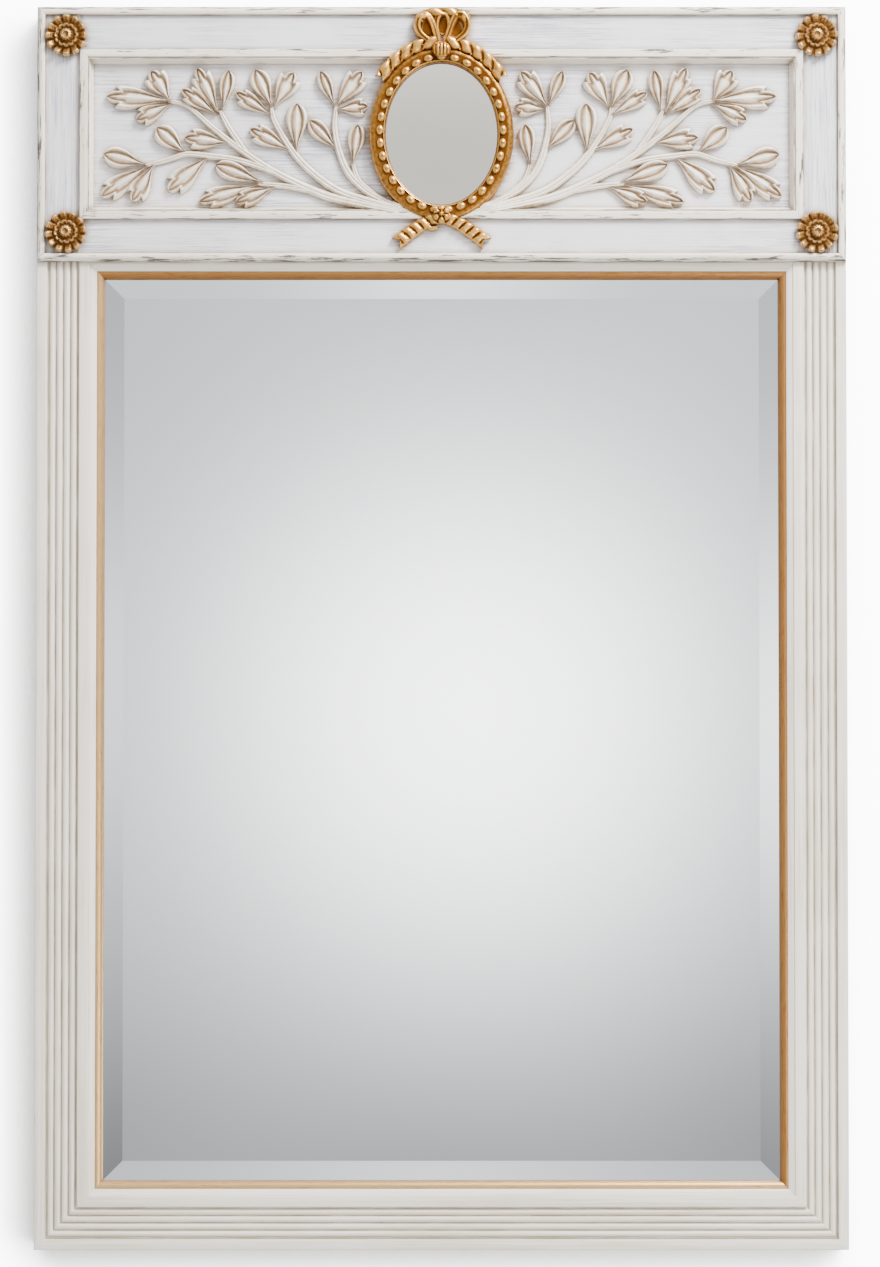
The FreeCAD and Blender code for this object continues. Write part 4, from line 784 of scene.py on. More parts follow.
def fill_socket(tree, socket, value):
    """Links a socket to another one, or gives it a value."""
    if isinstance(value, bpy.types.NodeSocket):
        tree.links.new(value, socket)
    else:
        socket.default_value = value


def maths(tree, operation, *values):
    """The result of a math node."""
    return add_node(tree, "ShaderNodeMath", dict(enumerate(values)), operation=operation).outputs[0]


def times(tree, *values):
    """The product of two values."""
    return maths(tree, "MULTIPLY", *values)


def plus(tree, *values):
    """The sum of two values."""
    return maths(tree, "ADD", *values)


def minus(tree, *values):
    """The first value less the second."""
    return maths(tree, "SUBTRACT", *values)


def between(tree, value, low, high):
    """A mask that rises smoothly from 0 at the low value to 1 at the high one."""
    return add_node(tree, "ShaderNodeMapRange", {"Value": value, "From Min": low, "From Max": high},
                    interpolation_type="SMOOTHSTEP").outputs["Result"]


def add_mix(tree, mask, first, second):
    """A colour mix whose colour sockets are found by kind."""
    node = add_node(tree, "ShaderNodeMix", data_type="RGBA")
    colours = [socket for socket in node.inputs if socket.type == "RGBA"]
    for socket, value in ((node.inputs[0], mask), (colours[0], first), (colours[1], second)):
        fill_socket(tree, socket, value)
    return next(socket for socket in node.outputs if socket.type == "RGBA")


def darker(tint, share):
    """The same colour with this share of its light."""
    return (*[part * share for part in tint[:3]], 1)


def cloud(tree, vector, scale, detail=3.0, roughness=0.55):
    """Soft noise at a place."""
    return add_node(tree, "ShaderNodeTexNoise", {
        "Vector": vector, "Scale": scale, "Detail": detail, "Roughness": roughness}).outputs["Fac"]


def object_place(tree):
    """Object coordinates."""
    return tree.nodes.new("ShaderNodeTexCoord").outputs["Object"]


def stretched(tree, scales):
    """Object coordinates, stretched."""
    return add_node(tree, "ShaderNodeVectorMath", {0: object_place(tree), 1: scales},
                    operation="MULTIPLY").outputs[0]


def marked_relief(tree):
    """How far the surface stands out or lies in a hollow, as mark_relief() stored it."""
    return add_node(tree, "ShaderNodeAttribute", attribute_name="relief").outputs["Fac"]


def bumped(tree, height, strength, distance):
    """A normal from a height."""
    return add_node(tree, "ShaderNodeBump", {
        "Height": height, "Strength": strength, "Distance": distance}).outputs[0]


def new_group(name, inputs, outputs):
    """A shader node group with sockets for the given values, and its input and output nodes."""
    group = bpy.data.node_groups.new(name, "ShaderNodeTree")
    for in_out, sockets in (("INPUT", inputs), ("OUTPUT", outputs)):
        for label, value in sockets.items():
            size = len(value) if isinstance(value, tuple) else 1
            kind = {1: "NodeSocketFloat", 3: "NodeSocketVector", 4: "NodeSocketColor"}[size]
            socket = group.interface.new_socket(name=label, in_out=in_out, socket_type=kind)
            socket.default_value = value
    return group, group.nodes.new("NodeGroupInput"), group.nodes.new("NodeGroupOutput")


def use_group(tree, name, build, **inputs):
    """Places a shared effect in a material. It is built the first time it is asked for."""
    effect = bpy.data.node_groups.get(name) or build(name)
    return add_node(tree, "ShaderNodeGroup", inputs, node_tree=effect).outputs


def build_brushwork(name):
    """Brush strokes: fine streaks along one direction, broken by soft patches, and dry scuffs."""
    group, given, made = new_group(
        name, {"Stretch": (1, 1, 1)}, {"Streaks": 0.0, "Patches": 0.0, "Scuffs": 0.0})
    along = stretched(group, given.outputs["Stretch"])
    streaks = cloud(group, along, 1.0, 4.0, 0.6)
    patches = between(group, cloud(group, object_place(group), 7.0, 3.0), 0.36, 0.64)
    specks = between(group, cloud(group, along, 2.2, 5.0, 0.75), 0.50, 0.58)
    fill_inputs(group, made, {"Streaks": between(group, streaks, 0.35, 0.68), "Patches": patches,
                              "Scuffs": times(group, specks, patches)})
    return group


def build_edge_wear(name):
    """Where the finish is rubbed off crests and arrises, in dashes."""
    group, given, made = new_group(name, {"Wear": 0.4, "Stretch": (100, 100, 100)}, {"Mask": 0.0})
    relief = marked_relief(group)
    dashes = cloud(group, stretched(group, given.outputs["Stretch"]), 1.0, 5.0, 0.65)
    crest = between(group, relief, 0.12, 0.75)
    broken = plus(group, dashes, times(group, crest, 0.22))
    limit = minus(group, 0.98, times(group, given.outputs["Wear"], 0.5))
    mask = between(group, broken, limit, plus(group, limit, 0.05))
    fill_inputs(group, made, {"Mask": times(group, mask, between(group, relief, 0.05, 0.3))})
    return group


def build_hollow_glaze_and_shade(name):
    """Grime and glaze in hollows, with painted shade there too: quirks, valleys and the ground beside raised
    carving.
    """
    group, given, made = new_group(name, {"Reach": 0.006, "Stretch": (100, 100, 100)}, {"Mask": 0.0})
    open_sky = add_node(group, "ShaderNodeAmbientOcclusion", {"Distance": given.outputs["Reach"]}, samples=6)
    closed = minus(group, 1.0, open_sky.outputs["AO"])
    sunk = times(group, marked_relief(group), -1.0)
    # Painted shade: places that are closed in or sunk are darkened as if shade fell there.
    deep = plus(group, between(group, closed, 0.05, 0.5), between(group, sunk, 0.04, 0.5))
    dashes = cloud(group, stretched(group, given.outputs["Stretch"]), 1.0, 4.0, 0.6)
    broken = plus(group, 0.4, times(group, between(group, dashes, 0.30, 0.62), 0.6))
    fill_inputs(group, made, {"Mask": maths(group, "MINIMUM", times(group, deep, broken), 1.0)})
    return group


def build_pine(name):
    """Bare pine: bands of early and late wood, bent along the board."""
    group, given, made = new_group(
        name, {"Stretch": (1, 1, 1), "Wood": (1, 1, 1, 1), "Grain": (0, 0, 0, 1)},
        {"Color": (1, 1, 1, 1), "Grain": 0.0})
    place = stretched(group, given.outputs["Stretch"])
    rings = add_node(group, "ShaderNodeTexWave", {
        "Vector": place, "Scale": 0.35, "Distortion": 5.0, "Detail": 3.0, "Detail Scale": 0.7},
        bands_direction="DIAGONAL").outputs["Fac"]
    fibre = cloud(group, place, 3.0, 6.0, 0.7)
    grain = times(group, between(group, rings, 0.45, 0.95), between(group, fibre, 0.25, 0.6))
    wood = add_mix(group, grain, given.outputs["Wood"], given.outputs["Grain"])
    fill_inputs(group, made, {"Color": wood, "Grain": grain})
    return group


# Materials


def new_material(name):
    """A material with its tree and its Principled shader."""
    made = bpy.data.materials.new(name)
    made.use_nodes = True
    return made, made.node_tree, made.node_tree.nodes["Principled BSDF"]


def finished_once(name, build, *details):
    """A material, built the first time it is asked for."""
    return bpy.data.materials.get(name) or build(name, *details)


# Scales of the brush strokes, the worn dashes and the pine's grain, by the way a board runs, and of the
# gilding's glaze and painted shade.
STROKES = {"upright": (330, 330, 7), "level": (7, 330, 330), "carved": (120, 120, 120)}
DASHES = {"upright": (420, 420, 32), "level": (32, 420, 420), "carved": (200, 200, 200)}
GRAINS = {"upright": (70, 70, 4), "level": (4, 70, 70), "carved": (70, 70, 4)}
GLAZE_AND_SHADE_DASHES = (60, 60, 60)

# How deep the bumps are, in metres.
BRUSH_DEPTH = 0.0003
GRIT_DEPTH = 0.0004
ZINC_DEPTH = 0.0002

# How far from a corner its hollow counts as closed in for grime, glaze and painted shade, in metres, for
# paint and for gilding.
PAINT_HOLLOW = 0.009
GILDING_HOLLOW = 0.004


def tone_and_way(run):
    """The two words of a run such as rubbed_level, or no tone and the one word."""
    return run.split("_") if "_" in run else ("", run)


def use_pine(tree, way):
    """Bare pine whose grain runs with the board."""
    finish = bpy.context.scene.wall_mirror.finish
    return use_group(tree, "pine", build_pine, Stretch=GRAINS[way], Wood=finish.pine[:],
                     Grain=finish.pine_grain[:])


def build_paint(name, run):
    """Distressed white paint over bare pine, which shows on the back, with grime and painted shade in its
    hollows.
    """
    finish = bpy.context.scene.wall_mirror.finish
    made, tree, shader = new_material(name)
    tone, way = tone_and_way(run)
    white, shade = finish.paint, finish.paint_shade
    if tone == "board":
        white, shade = finish.board_paint, finish.board_shade
    wear = finish.bead_wear if tone == "rubbed" else finish.paint_wear
    hollow, depth = finish.grime_and_shade, finish.header_grime_and_shade if tone else finish.frame_grime_and_shade
    if way == "carved":
        hollow, depth = finish.beige_glaze_and_shade, finish.carving_glaze_and_shade
    brush = use_group(tree, "brushwork", build_brushwork, Stretch=STROKES[way])
    worn = use_group(tree, "edge_wear", build_edge_wear, Wear=wear, Stretch=DASHES[way])["Mask"]
    grime_and_shade_mask = use_group(tree, "hollow_glaze", build_hollow_glaze_and_shade, Reach=PAINT_HOLLOW,
                     Stretch=DASHES[way])["Mask"]
    strokes = times(tree, brush["Streaks"], plus(tree, 0.25, brush["Patches"]))
    coat = add_mix(tree, strokes, white[:], shade[:])
    if tone == "board":
        coat = add_mix(tree, times(tree, brush["Scuffs"], finish.scuffing), coat, finish.scuff[:])
    # Painted shade with the grime: closed-in hollows darken towards the grime or glaze colour.
    coat = add_mix(tree, times(tree, grime_and_shade_mask, depth), coat, hollow[:])
    coat = add_mix(tree, worn, coat, finish.undercoat[:])
    facing = tree.nodes.new("ShaderNodeTexCoord").outputs["Normal"]
    back = add_node(tree, "ShaderNodeSeparateXYZ", {0: facing}).outputs["Y"]
    bare = between(tree, back, 0.5, 0.6)
    rough = plus(tree, 0.44, times(tree, brush["Streaks"], 0.14))
    height = minus(tree, times(tree, brush["Streaks"], 0.25), worn)
    fill_inputs(tree, shader, {
        "Base Color": add_mix(tree, bare, coat, use_pine(tree, way)["Color"]),
        "Roughness": maths(tree, "MAXIMUM", rough, times(tree, bare, 0.75)),
        "Normal": bumped(tree, height, 0.5, BRUSH_DEPTH),
    })
    return made


def paint(run):
    """White paint for parts that run upright or level, also cooler or more rubbed, or for carving."""
    return finished_once(f"white_paint_{run}", build_paint, run)


def build_gilding(name, run):
    """Antiqued gilding: burnished crests with a painted highlight, brown glaze and painted shade in the
    hollows, rubbed through in places.
    """
    finish = bpy.context.scene.wall_mirror.finish
    made, tree, shader = new_material(name)
    tone, way = tone_and_way(run)
    gold, gold_burnish_and_highlight, glaze_and_shade_strength, shine = {
        "": (finish.gold, finish.gold_burnish_and_highlight, finish.gold_glaze_and_shade, finish.gold_shine),
        "dark": (finish.dark_gold, finish.dark_gold_light, finish.gold_glaze_and_shade, finish.gold_shine),
        "pale": (finish.pale_and_lit_gold, finish.pale_and_lit_gold_highlight, finish.pale_glaze_and_shade, finish.pale_shine),
    }[tone]
    worn = use_group(tree, "edge_wear", build_edge_wear, Wear=finish.gold_wear, Stretch=DASHES[way])["Mask"]
    glaze = use_group(tree, "hollow_glaze", build_hollow_glaze_and_shade, Reach=GILDING_HOLLOW,
                      Stretch=GLAZE_AND_SHADE_DASHES)["Mask"]
    place = stretched(tree, DASHES[way])
    mottle = cloud(tree, place, 1.4, 5.0, 0.6)
    # Crests take the lighter gold: partly burnished gilding, partly a painted highlight.
    bright = plus(tree, between(tree, marked_relief(tree), 0.0, 0.7), minus(tree, mottle, 0.5))
    leaf = add_mix(tree, between(tree, bright, 0.05, 0.8), gold[:], gold_burnish_and_highlight[:])
    leaf = add_mix(tree, times(tree, between(tree, mottle, 0.52, 0.72), 0.55), leaf, finish.bole[:])
    # Painted shade with the glaze: the gilding's hollows darken to brown.
    leaf = add_mix(tree, times(tree, glaze, glaze_and_shade_strength), leaf, finish.glaze[:])
    leaf = add_mix(tree, times(tree, worn, 0.6), leaf, finish.bole[:])
    rough = plus(tree, 0.24, times(tree, glaze, 0.4))
    grit = cloud(tree, place, 5.0, 4.0, 0.7)
    fill_inputs(tree, shader, {
        "Base Color": leaf, "Metallic": shine, "Roughness": plus(tree, rough, times(tree, mottle, 0.14)),
        "Normal": bumped(tree, grit, 0.35, GRIT_DEPTH),
    })
    return made


def gilding(run="carved"):
    """Antiqued gold for straight slips, darker for painted shade and paler for painted light, or for carving.
    """
    return finished_once(f"antiqued_gilding_{run}", build_gilding, run)


def build_silvering(name, silver):
    """Silvered mirror with a trace of haze."""
    made, tree, shader = new_material(name)
    haze = cloud(tree, object_place(tree), 9.0, 3.0)
    fill_inputs(tree, shader, {
        "Base Color": add_mix(tree, haze, darker(silver, 0.96), silver), "Metallic": 1,
        "Roughness": plus(tree, 0.012, times(tree, haze, 0.02)),
    })
    return made


def build_board(name):
    """Brown pressed board with fine fibres and soft patches."""
    board = bpy.context.scene.wall_mirror.finish.board
    made, tree, shader = new_material(name)
    place = object_place(tree)
    fibres = cloud(tree, place, 420.0, 5.0, 0.75)
    patches = cloud(tree, place, 12.0, 3.0)
    shade = plus(tree, times(tree, fibres, 0.7), times(tree, patches, 0.3))
    fill_inputs(tree, shader, {
        "Base Color": add_mix(tree, between(tree, shade, 0.35, 0.65), darker(board, 0.62), board[:]),
        "Roughness": 0.82, "Normal": bumped(tree, fibres, 0.5, GRIT_DEPTH),
    })
    return made


def build_raw_pine(name, run):
    """Bare planed pine."""
    made, tree, shader = new_material(name)
    pine = use_pine(tree, run)
    fill_inputs(tree, shader, {
        "Base Color": pine["Color"], "Roughness": 0.72,
        "Normal": bumped(tree, pine["Grain"], 0.3, BRUSH_DEPTH),
    })
    return made


def raw_pine(run):
    """Bare pine for boards that run upright or level."""
    return finished_once(f"raw_pine_{run}", build_raw_pine, run)


def build_zinc(name):
    """Zinc plate with a soft crystal mottle."""
    zinc = bpy.context.scene.wall_mirror.finish.zinc
    made, tree, shader = new_material(name)
    mottle = cloud(tree, object_place(tree), 260.0, 4.0)
    fill_inputs(tree, shader, {
        "Base Color": add_mix(tree, mottle, darker(zinc, 0.7), zinc[:]), "Metallic": 1,
        "Roughness": plus(tree, 0.28, times(tree, mottle, 0.2)),
        "Normal": bumped(tree, mottle, 0.2, ZINC_DEPTH),
    })
    return made


# Operators, one for each group of like pieces


class MIRROR_OT_reeded_frame(bpy.types.Operator):
    """Make the two reeded stiles, the bottom rail and the plain lip under the header"""

    bl_idname = "mirror.reeded_frame"
    bl_label = "Reeded Frame"

    def execute(self, context):
        sizes = context.scene.wall_mirror.frame_sizes
        front = front_level("frame_stile_left")
        header_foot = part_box("frame_stile_left")[1].z
        lip_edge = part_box("frame_bottom_rail")[1].z
        opening_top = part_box("frame_top_rail")[0].z
        channel_end = sizes.outer_fillet + sizes.reed_pitch * sizes.reed_count + sizes.channel_margin * 2
        slope_start = channel_end + sizes.inner_fillet
        channel = front - sizes.channel_depth
        slope_top = front - sizes.slope_step
        slope_foot = slope_top - sizes.slope_drop
        lip_back = slope_foot - sizes.lip_thickness
        mirror_shoulder = lip_edge - sizes.mirror_rebate
        board_shoulder = mirror_shoulder - sizes.board_rebate
        mirror_back = back_level("mirror_glass")
        reeds = []
        for number in range(sizes.reed_count):
            middle = sizes.outer_fillet + sizes.channel_margin + sizes.reed_pitch * (number + 0.5)
            half = sizes.reed_width / 2
            radius = (half ** 2 + sizes.reed_rise ** 2) / (2 * sizes.reed_rise)
            reeds += arc((middle - half, channel), (middle + half, channel), radius, steps=10)
        body = eased([
            (0, front), (sizes.outer_fillet, front), (sizes.outer_fillet, channel), *reeds,
            (channel_end, channel), (channel_end, front), (slope_start, front), (slope_start, lip_back),
            (mirror_shoulder, lip_back), (mirror_shoulder, mirror_back), (board_shoulder, mirror_back),
            (board_shoulder, 0), (0, 0),
        ], sizes.arris)
        slope = eased([
            (slope_start, slope_top), (lip_edge, slope_foot), (lip_edge, lip_back), (slope_start, lip_back),
        ], sizes.arris / 2)
        for side in ("left", "right"):
            place = on_side(side, 0, header_foot)
            parts = [
                member(body, place, lambda inset: inset, lambda inset: header_foot),
                member(slope, place, lambda inset: inset, lambda inset: opening_top + lip_edge - inset),
            ]
            add_piece(f"frame_stile_{side}", parts, paint("upright"), gain=2.2)
        parts = [mitred(section, "bottom", 0, header_foot) for section in (body, slope)]
        add_piece("frame_bottom_rail", parts, paint("level"), gain=2.2)

        band = header_foot - opening_top
        fillet = band - (lip_edge - slope_start)
        lip = eased([
            (0, front), (fillet, front), (fillet, slope_top), (band, slope_foot), (band, lip_back),
            (0, lip_back),
        ], sizes.arris / 2)

        def cut(inset):
            """The lip runs between the stiles, and is mitred where it slopes."""
            return max(slope_start, slope_start + inset - fillet)

        part = member(lip, on_side("top", 0, header_foot), cut, lambda inset: 2 * cad_high.x - cut(inset))
        add_piece("frame_top_rail", [part], paint("level"), gain=2.2)
        return {"FINISHED"}


class MIRROR_OT_gilt_slips(bpy.types.Operator):
    """Make the four gilt slips round the mirror"""

    bl_idname = "mirror.gilt_slips"
    bl_label = "Gilt Slips"

    def execute(self, context):
        sizes = context.scene.wall_mirror.frame_sizes
        low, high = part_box("gilt_slip_left")
        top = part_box("gilt_slip_top")[1].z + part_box("gilt_slip_bottom")[0].z
        back, crown = -high.y, -low.y
        outer = low.x - cad_low.x
        edge = high.x - cad_low.x
        lip_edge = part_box("frame_bottom_rail")[1].z
        lip_back = back + sizes.slip_tongue
        section = eased([
            (outer, back), (edge, back),
            *arc((edge, back + sizes.slip_sight), (lip_edge + sizes.slip_crown, crown), sizes.slip_radius),
            (lip_edge, crown), (lip_edge, lip_back), (outer, lip_back),
        ], sizes.arris / 3)
        for side, run in SIDE_RUNS.items():
            # Painted light and shade: the left and bottom slips take paler gilding, as if lit, and the right
            # and top ones darker gilding, as if in shade.
            tone = "pale" if side in ("left", "bottom") else "dark"
            add_piece(f"gilt_slip_{side}", [mitred(section, side, 0, top)], gilding(f"{tone}_{run}"),
                      gain=2.5)
        return {"FINISHED"}


class MIRROR_OT_header_boards(bpy.types.Operator):
    """Finish the header's boards and panel, and make its edge beads and panel mouldings"""

    bl_idname = "mirror.header_boards"
    bl_label = "Header Boards"

    def execute(self, context):
        settings = context.scene.wall_mirror
        sizes = settings.header
        arris = settings.frame_sizes.arris
        for node in ("header_stile_left", "header_stile_right"):
            finish_node(node, paint("board_upright"))
        for node in ("header_top_rail", "header_bottom_rail", "frieze_panel"):
            finish_node(node, paint("board_level"))
        stile_low, stile_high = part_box("header_stile_left")
        foot, top = stile_low.z, stile_high.z
        board = -stile_low.y
        moulding_low, moulding_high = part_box("panel_moulding_left")
        start, border = moulding_low.x - cad_low.x, moulding_high.x - cad_low.x
        crest, panel = -moulding_low.y, -moulding_high.y
        groove = start + sizes.moulding_flat
        cove = groove + sizes.moulding_groove
        stile_edge = stile_high.x - cad_low.x
        moulding = eased([
            (start, board), (start, crest), (groove, crest),
            (groove + MM / 2, crest - 2 * sizes.moulding_quirk),
            *arc((cove, crest - sizes.moulding_quirk), (border, panel + sizes.moulding_quirk),
                 -sizes.moulding_cove),
            (border, panel), (stile_edge, panel), (stile_edge, board),
        ], arris * 0.7)
        for side, run in SIDE_RUNS.items():
            low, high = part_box(f"header_bead_{side}")
            width = high.z - low.z if run == "level" else high.x - low.x
            extra = -low.y - front_level("header_bead_top")
            inner = (width, board + sizes.bead_inner + extra)
            outer = (0, board + sizes.bead_outer + extra)
            crown = arc(inner, outer, sizes.bead_radius, steps=10)
            bead = eased([(0, board), (width, board), *crown], arris / 2)
            for section, node in ((bead, f"header_bead_{side}"), (moulding, f"panel_moulding_{side}")):
                add_piece(node, [mitred(section, side, foot, top)], paint(f"rubbed_{run}"),
                          gain=2.5)
        return {"FINISHED"}


class MIRROR_OT_mirror_plates(bpy.types.Operator):
    """Silver the bevelled mirror and the oval mirror, and finish the boards behind them"""

    bl_idname = "mirror.mirror_plates"
    bl_label = "Mirror Plates"

    def execute(self, context):
        finish = context.scene.wall_mirror.finish
        finish_node("mirror_glass", finished_once("silvered_mirror", build_silvering, finish.silver[:]))
        finish_node("oval_mirror", finished_once("old_silvering", build_silvering, finish.old_silver[:]))
        for node in ("mirror_backboard", "oval_packing"):
            finish_node(node, finished_once("pressed_board", build_board))
        return {"FINISHED"}


class MIRROR_OT_rosettes(bpy.types.Operator):
    """Carve the four corner rosettes"""

    bl_idname = "mirror.rosettes"
    bl_label = "Rosettes"

    def execute(self, context):
        sizes = context.scene.wall_mirror.ornament
        petals = sizes.petal_count
        nodes = [f"rosette_{row}_{side}" for row in ("top", "bottom") for side in ("left", "right")]
        for number, node in enumerate(nodes):
            low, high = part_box(node)
            middle = (low + high) / 2
            reach = (high.z - low.z) / 2
            rise = high.y - low.y
            base = -high.y
            twist = sizes.rosette_twist * number

            def outline(turn):
                """Round tips with notches between them."""
                tip = abs(math.cos((turn + twist) * petals / 2)) ** 0.7
                return reach * (1 - sizes.petal_notch * (1 - tip))

            def top(share, turn):
                """Rises on each petal and falls between two."""
                crown = ease(abs(math.cos((turn + twist) * petals / 2)) ** 0.8)
                on_petal = table_share(ROSETTE_SHARES, share, 1)
                between_petals = table_share(ROSETTE_SHARES, share, 2)
                return base + rise * (between_petals + (on_petal - between_petals) * crown)

            part = turned(middle.x, middle.z, outline, top, base, spokes=petals * 12, rings=36,
                          foot=(sizes.rosette_foot / 2, sizes.rosette_foot_height))
            add_piece(node, [part], gilding("pale_carved"), gain=4, passes=1)
        return {"FINISHED"}


class MIRROR_OT_oval_frame(bpy.types.Operator):
    """Make the oval frame with its row of pearls"""

    bl_idname = "mirror.oval_frame"
    bl_label = "Oval Frame"

    def execute(self, context):
        sizes = context.scene.wall_mirror.ornament
        low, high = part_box("oval_frame")
        middle = (low + high) / 2
        half_across, half_up = (high.x - low.x) / 2, (high.z - low.z) / 2
        back, front = -high.y, -low.y
        rebate = front_level("oval_mirror")
        rise = front - back
        floor = front - rise * 0.2
        band_foot = back + rise * 0.5
        band_radius = sizes.oval_band * 0.78
        lip_start = sizes.oval_width - sizes.oval_lip
        lip_crest = floor + rise * 0.06
        lip_edge = rebate + rise * 0.12
        lip_radius = sizes.oval_lip * 1.6
        section = eased([
            (0, back), *arc((0, band_foot), (sizes.oval_band, floor), band_radius, steps=12),
            (lip_start, floor), *arc((lip_start, lip_crest), (sizes.oval_width, lip_edge), lip_radius),
            (sizes.oval_width, rebate), (sizes.oval_rebate, rebate), (sizes.oval_rebate, back),
        ], MM / 3)
        rings = []
        steps = 180
        for step in range(steps):
            turn = math.tau * step / steps
            rings.append([
                at(middle.x + math.sin(turn) * (half_across - inset), level,
                   middle.z + math.cos(turn) * (half_up - inset))
                for inset, level in section
            ])
        parts = [swept(rings)]
        inset = (sizes.oval_band + lip_start) / 2
        for x, z, along in oval_row(middle, half_across - inset, half_up - inset, sizes.pearl_count):
            parts.append(turned(
                x, z, lambda turn: ellipse_reach(sizes.pearl_length / 2, sizes.pearl_width / 2, turn - along),
                lambda share, turn: floor + (front - floor) * math.sqrt(max(1 - share ** 2, 0)),
                floor - MM, spokes=20, rings=7))
        add_piece("oval_frame", parts, gilding(), gain=6, passes=2)
        return {"FINISHED"}


class MIRROR_OT_ribbon_bow(bpy.types.Operator):
    """Carve the bow over the oval and its two tails"""

    bl_idname = "mirror.ribbon_bow"
    bl_label = "Ribbon Bow"

    def execute(self, context):
        sizes = context.scene.wall_mirror.ornament
        low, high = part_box("ribbon_bow")
        oval_low, oval_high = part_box("oval_frame")
        board, front = -high.y, -low.y
        knot_z = oval_high.z - sizes.knot_drop
        bow_height = high.z - knot_z

        def bow_line(shares, steps):
            """A smooth line through places round the knot, given as shares of the bow's height."""
            places = [(across * bow_height, knot_z + up * bow_height) for across, up in shares]
            return smooth_line(places, steps)

        parts = []
        for number, shares in enumerate(LOOP_SHARES):
            parts += bow_loop(sizes, bow_line(shares, steps=6), board, is_middle=(number == 2))
        parts.append(gathered(bow_line(DRAPE_SHARES, steps=8), sizes.drape_width, board, sizes.drape_rise,
                              sizes.drape_fold, sizes.drape_folds, slant=0.4, columns=10))
        knot_edge = board + sizes.knot_edge

        def knot_top(share, turn):
            """A gathered dome with pleats across it."""
            across = math.sin(turn) * share
            pleats = 0.16 * swell(across * 2.5 + 0.5) - 0.10
            return knot_edge + (front - knot_edge) * (math.sqrt(max(1 - share ** 3, 0)) * (0.86 + pleats))

        half_tall, half_wide = sizes.knot_height / 2, sizes.knot_width / 2
        parts.append(turned(0, knot_z, lambda turn: ellipse_reach(half_tall, half_wide, turn), knot_top,
                            board, spokes=40, rings=14))
        add_gilt_piece("ribbon_bow", parts)

        middle_z = (oval_low.z + oval_high.z) / 2
        half_across = oval_high.x + sizes.tail_lift
        half_up = oval_high.z - middle_z + sizes.tail_lift
        for side, sign in (("left", -1), ("right", 1)):
            points = []
            for share in TAIL_SHARES:
                turn = sign * math.tau * share
                points.append((math.sin(turn) * half_across, middle_z + math.cos(turn) * half_up))
            part = gathered(smooth_line(points, steps=12), sizes.tail_width, board, sizes.tail_rise,
                            sizes.tail_fold, sizes.tail_folds, slant=0.35 * sign, lead=sizes.tail_lead)
            add_gilt_piece(f"ribbon_tail_{side}", [part])
        return {"FINISHED"}


def bow_loop(sizes, line, board, is_middle):
    """One loop of the bow, and the ground that closes it."""
    foot = board + sizes.loop_edge
    rise = sizes.bow_rise - sizes.loop_edge - (sizes.middle_drop if is_middle else 0)

    def top(share, across):
        """Rises to the far end of the loop, and its outer edge stands higher."""
        return foot + rise * (0.45 + 0.55 * math.sin(math.pi * share)) * (
            1 - 0.16 * across - 0.35 * abs(across) ** 5)

    def half_width(share):
        """The ribbon is drawn in at both ends of the loop."""
        return sizes.ribbon_band / 2 * (0.62 + 0.38 * math.sin(math.pi * share))

    band = carve(rows_along(line, half_width), top, board, columns=10)
    x, z = [sum(part) / len(line) for part in zip(*line)]
    half = (sizes.middle_ground if is_middle else sizes.side_ground) / 2
    ground = turned(x, z + MM, lambda turn: half + sizes.ground_stretch * math.cos(turn) ** 2,
                    lambda share, turn: board + sizes.ground_rise * (0.8 + 0.2 * share), board,
                    spokes=24, rings=5)
    return band, ground


class MIRROR_OT_ribbon_ends(bpy.types.Operator):
    """Carve the crossed ribbon ends under the oval and the small flower on them"""

    bl_idname = "mirror.ribbon_ends"
    bl_label = "Ribbon Ends"

    def execute(self, context):
        sizes = context.scene.wall_mirror.ornament
        board = back_level("ribbon_ends")
        low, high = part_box("ribbon_flower")
        flower_z = (low.z + high.z) / 2
        parts = []
        for sign in (1, -1):
            points = [(across * sizes.end_reach * sign, flower_z + up * sizes.end_reach)
                      for across, up in RIBBON_SHARES]
            rows = rows_along(smooth_line(points, steps=10),
                              lambda share: sizes.end_width / 2 * (0.8 + 0.2 * ease(share)), sizes.end_lead)
            top = ribbon_top(board, sizes.end_rise, sizes.end_fold, sizes.end_folds, slant=0.2 * sign)
            parts.append(carve(rows, top, board))
        curl = smooth_line([(across * MM, flower_z + up * MM) for across, up in CURL_POINTS],
                           steps=6)
        parts.append(carve(rows_along(curl, lambda share: sizes.curl_width / 2 * (1 - 0.4 * share)),
                           lambda share, across: board + sizes.curl_rise * (1 - 0.3 * across ** 2), board,
                           columns=8))
        add_gilt_piece("ribbon_ends", parts)

        reach = (high.z - low.z) / 2
        base, front = -high.y, -low.y

        def flower_top(share, turn):
            """Petals round a small ball."""
            petals = 0.42 + 0.3 * abs(math.cos(turn * 3)) * hill(share - 0.7, 0.3)
            return base + (front - base) * min(petals + 0.6 * hill(share, 0.3), 1) * (1 - 0.55 * share ** 6)

        flower = turned(0, flower_z, lambda turn: reach * (0.82 + 0.18 * abs(math.cos(turn * 3))), flower_top,
                        base - 2 * MM, spokes=48, rings=12)
        add_gilt_piece("ribbon_flower", [flower])
        return {"FINISHED"}


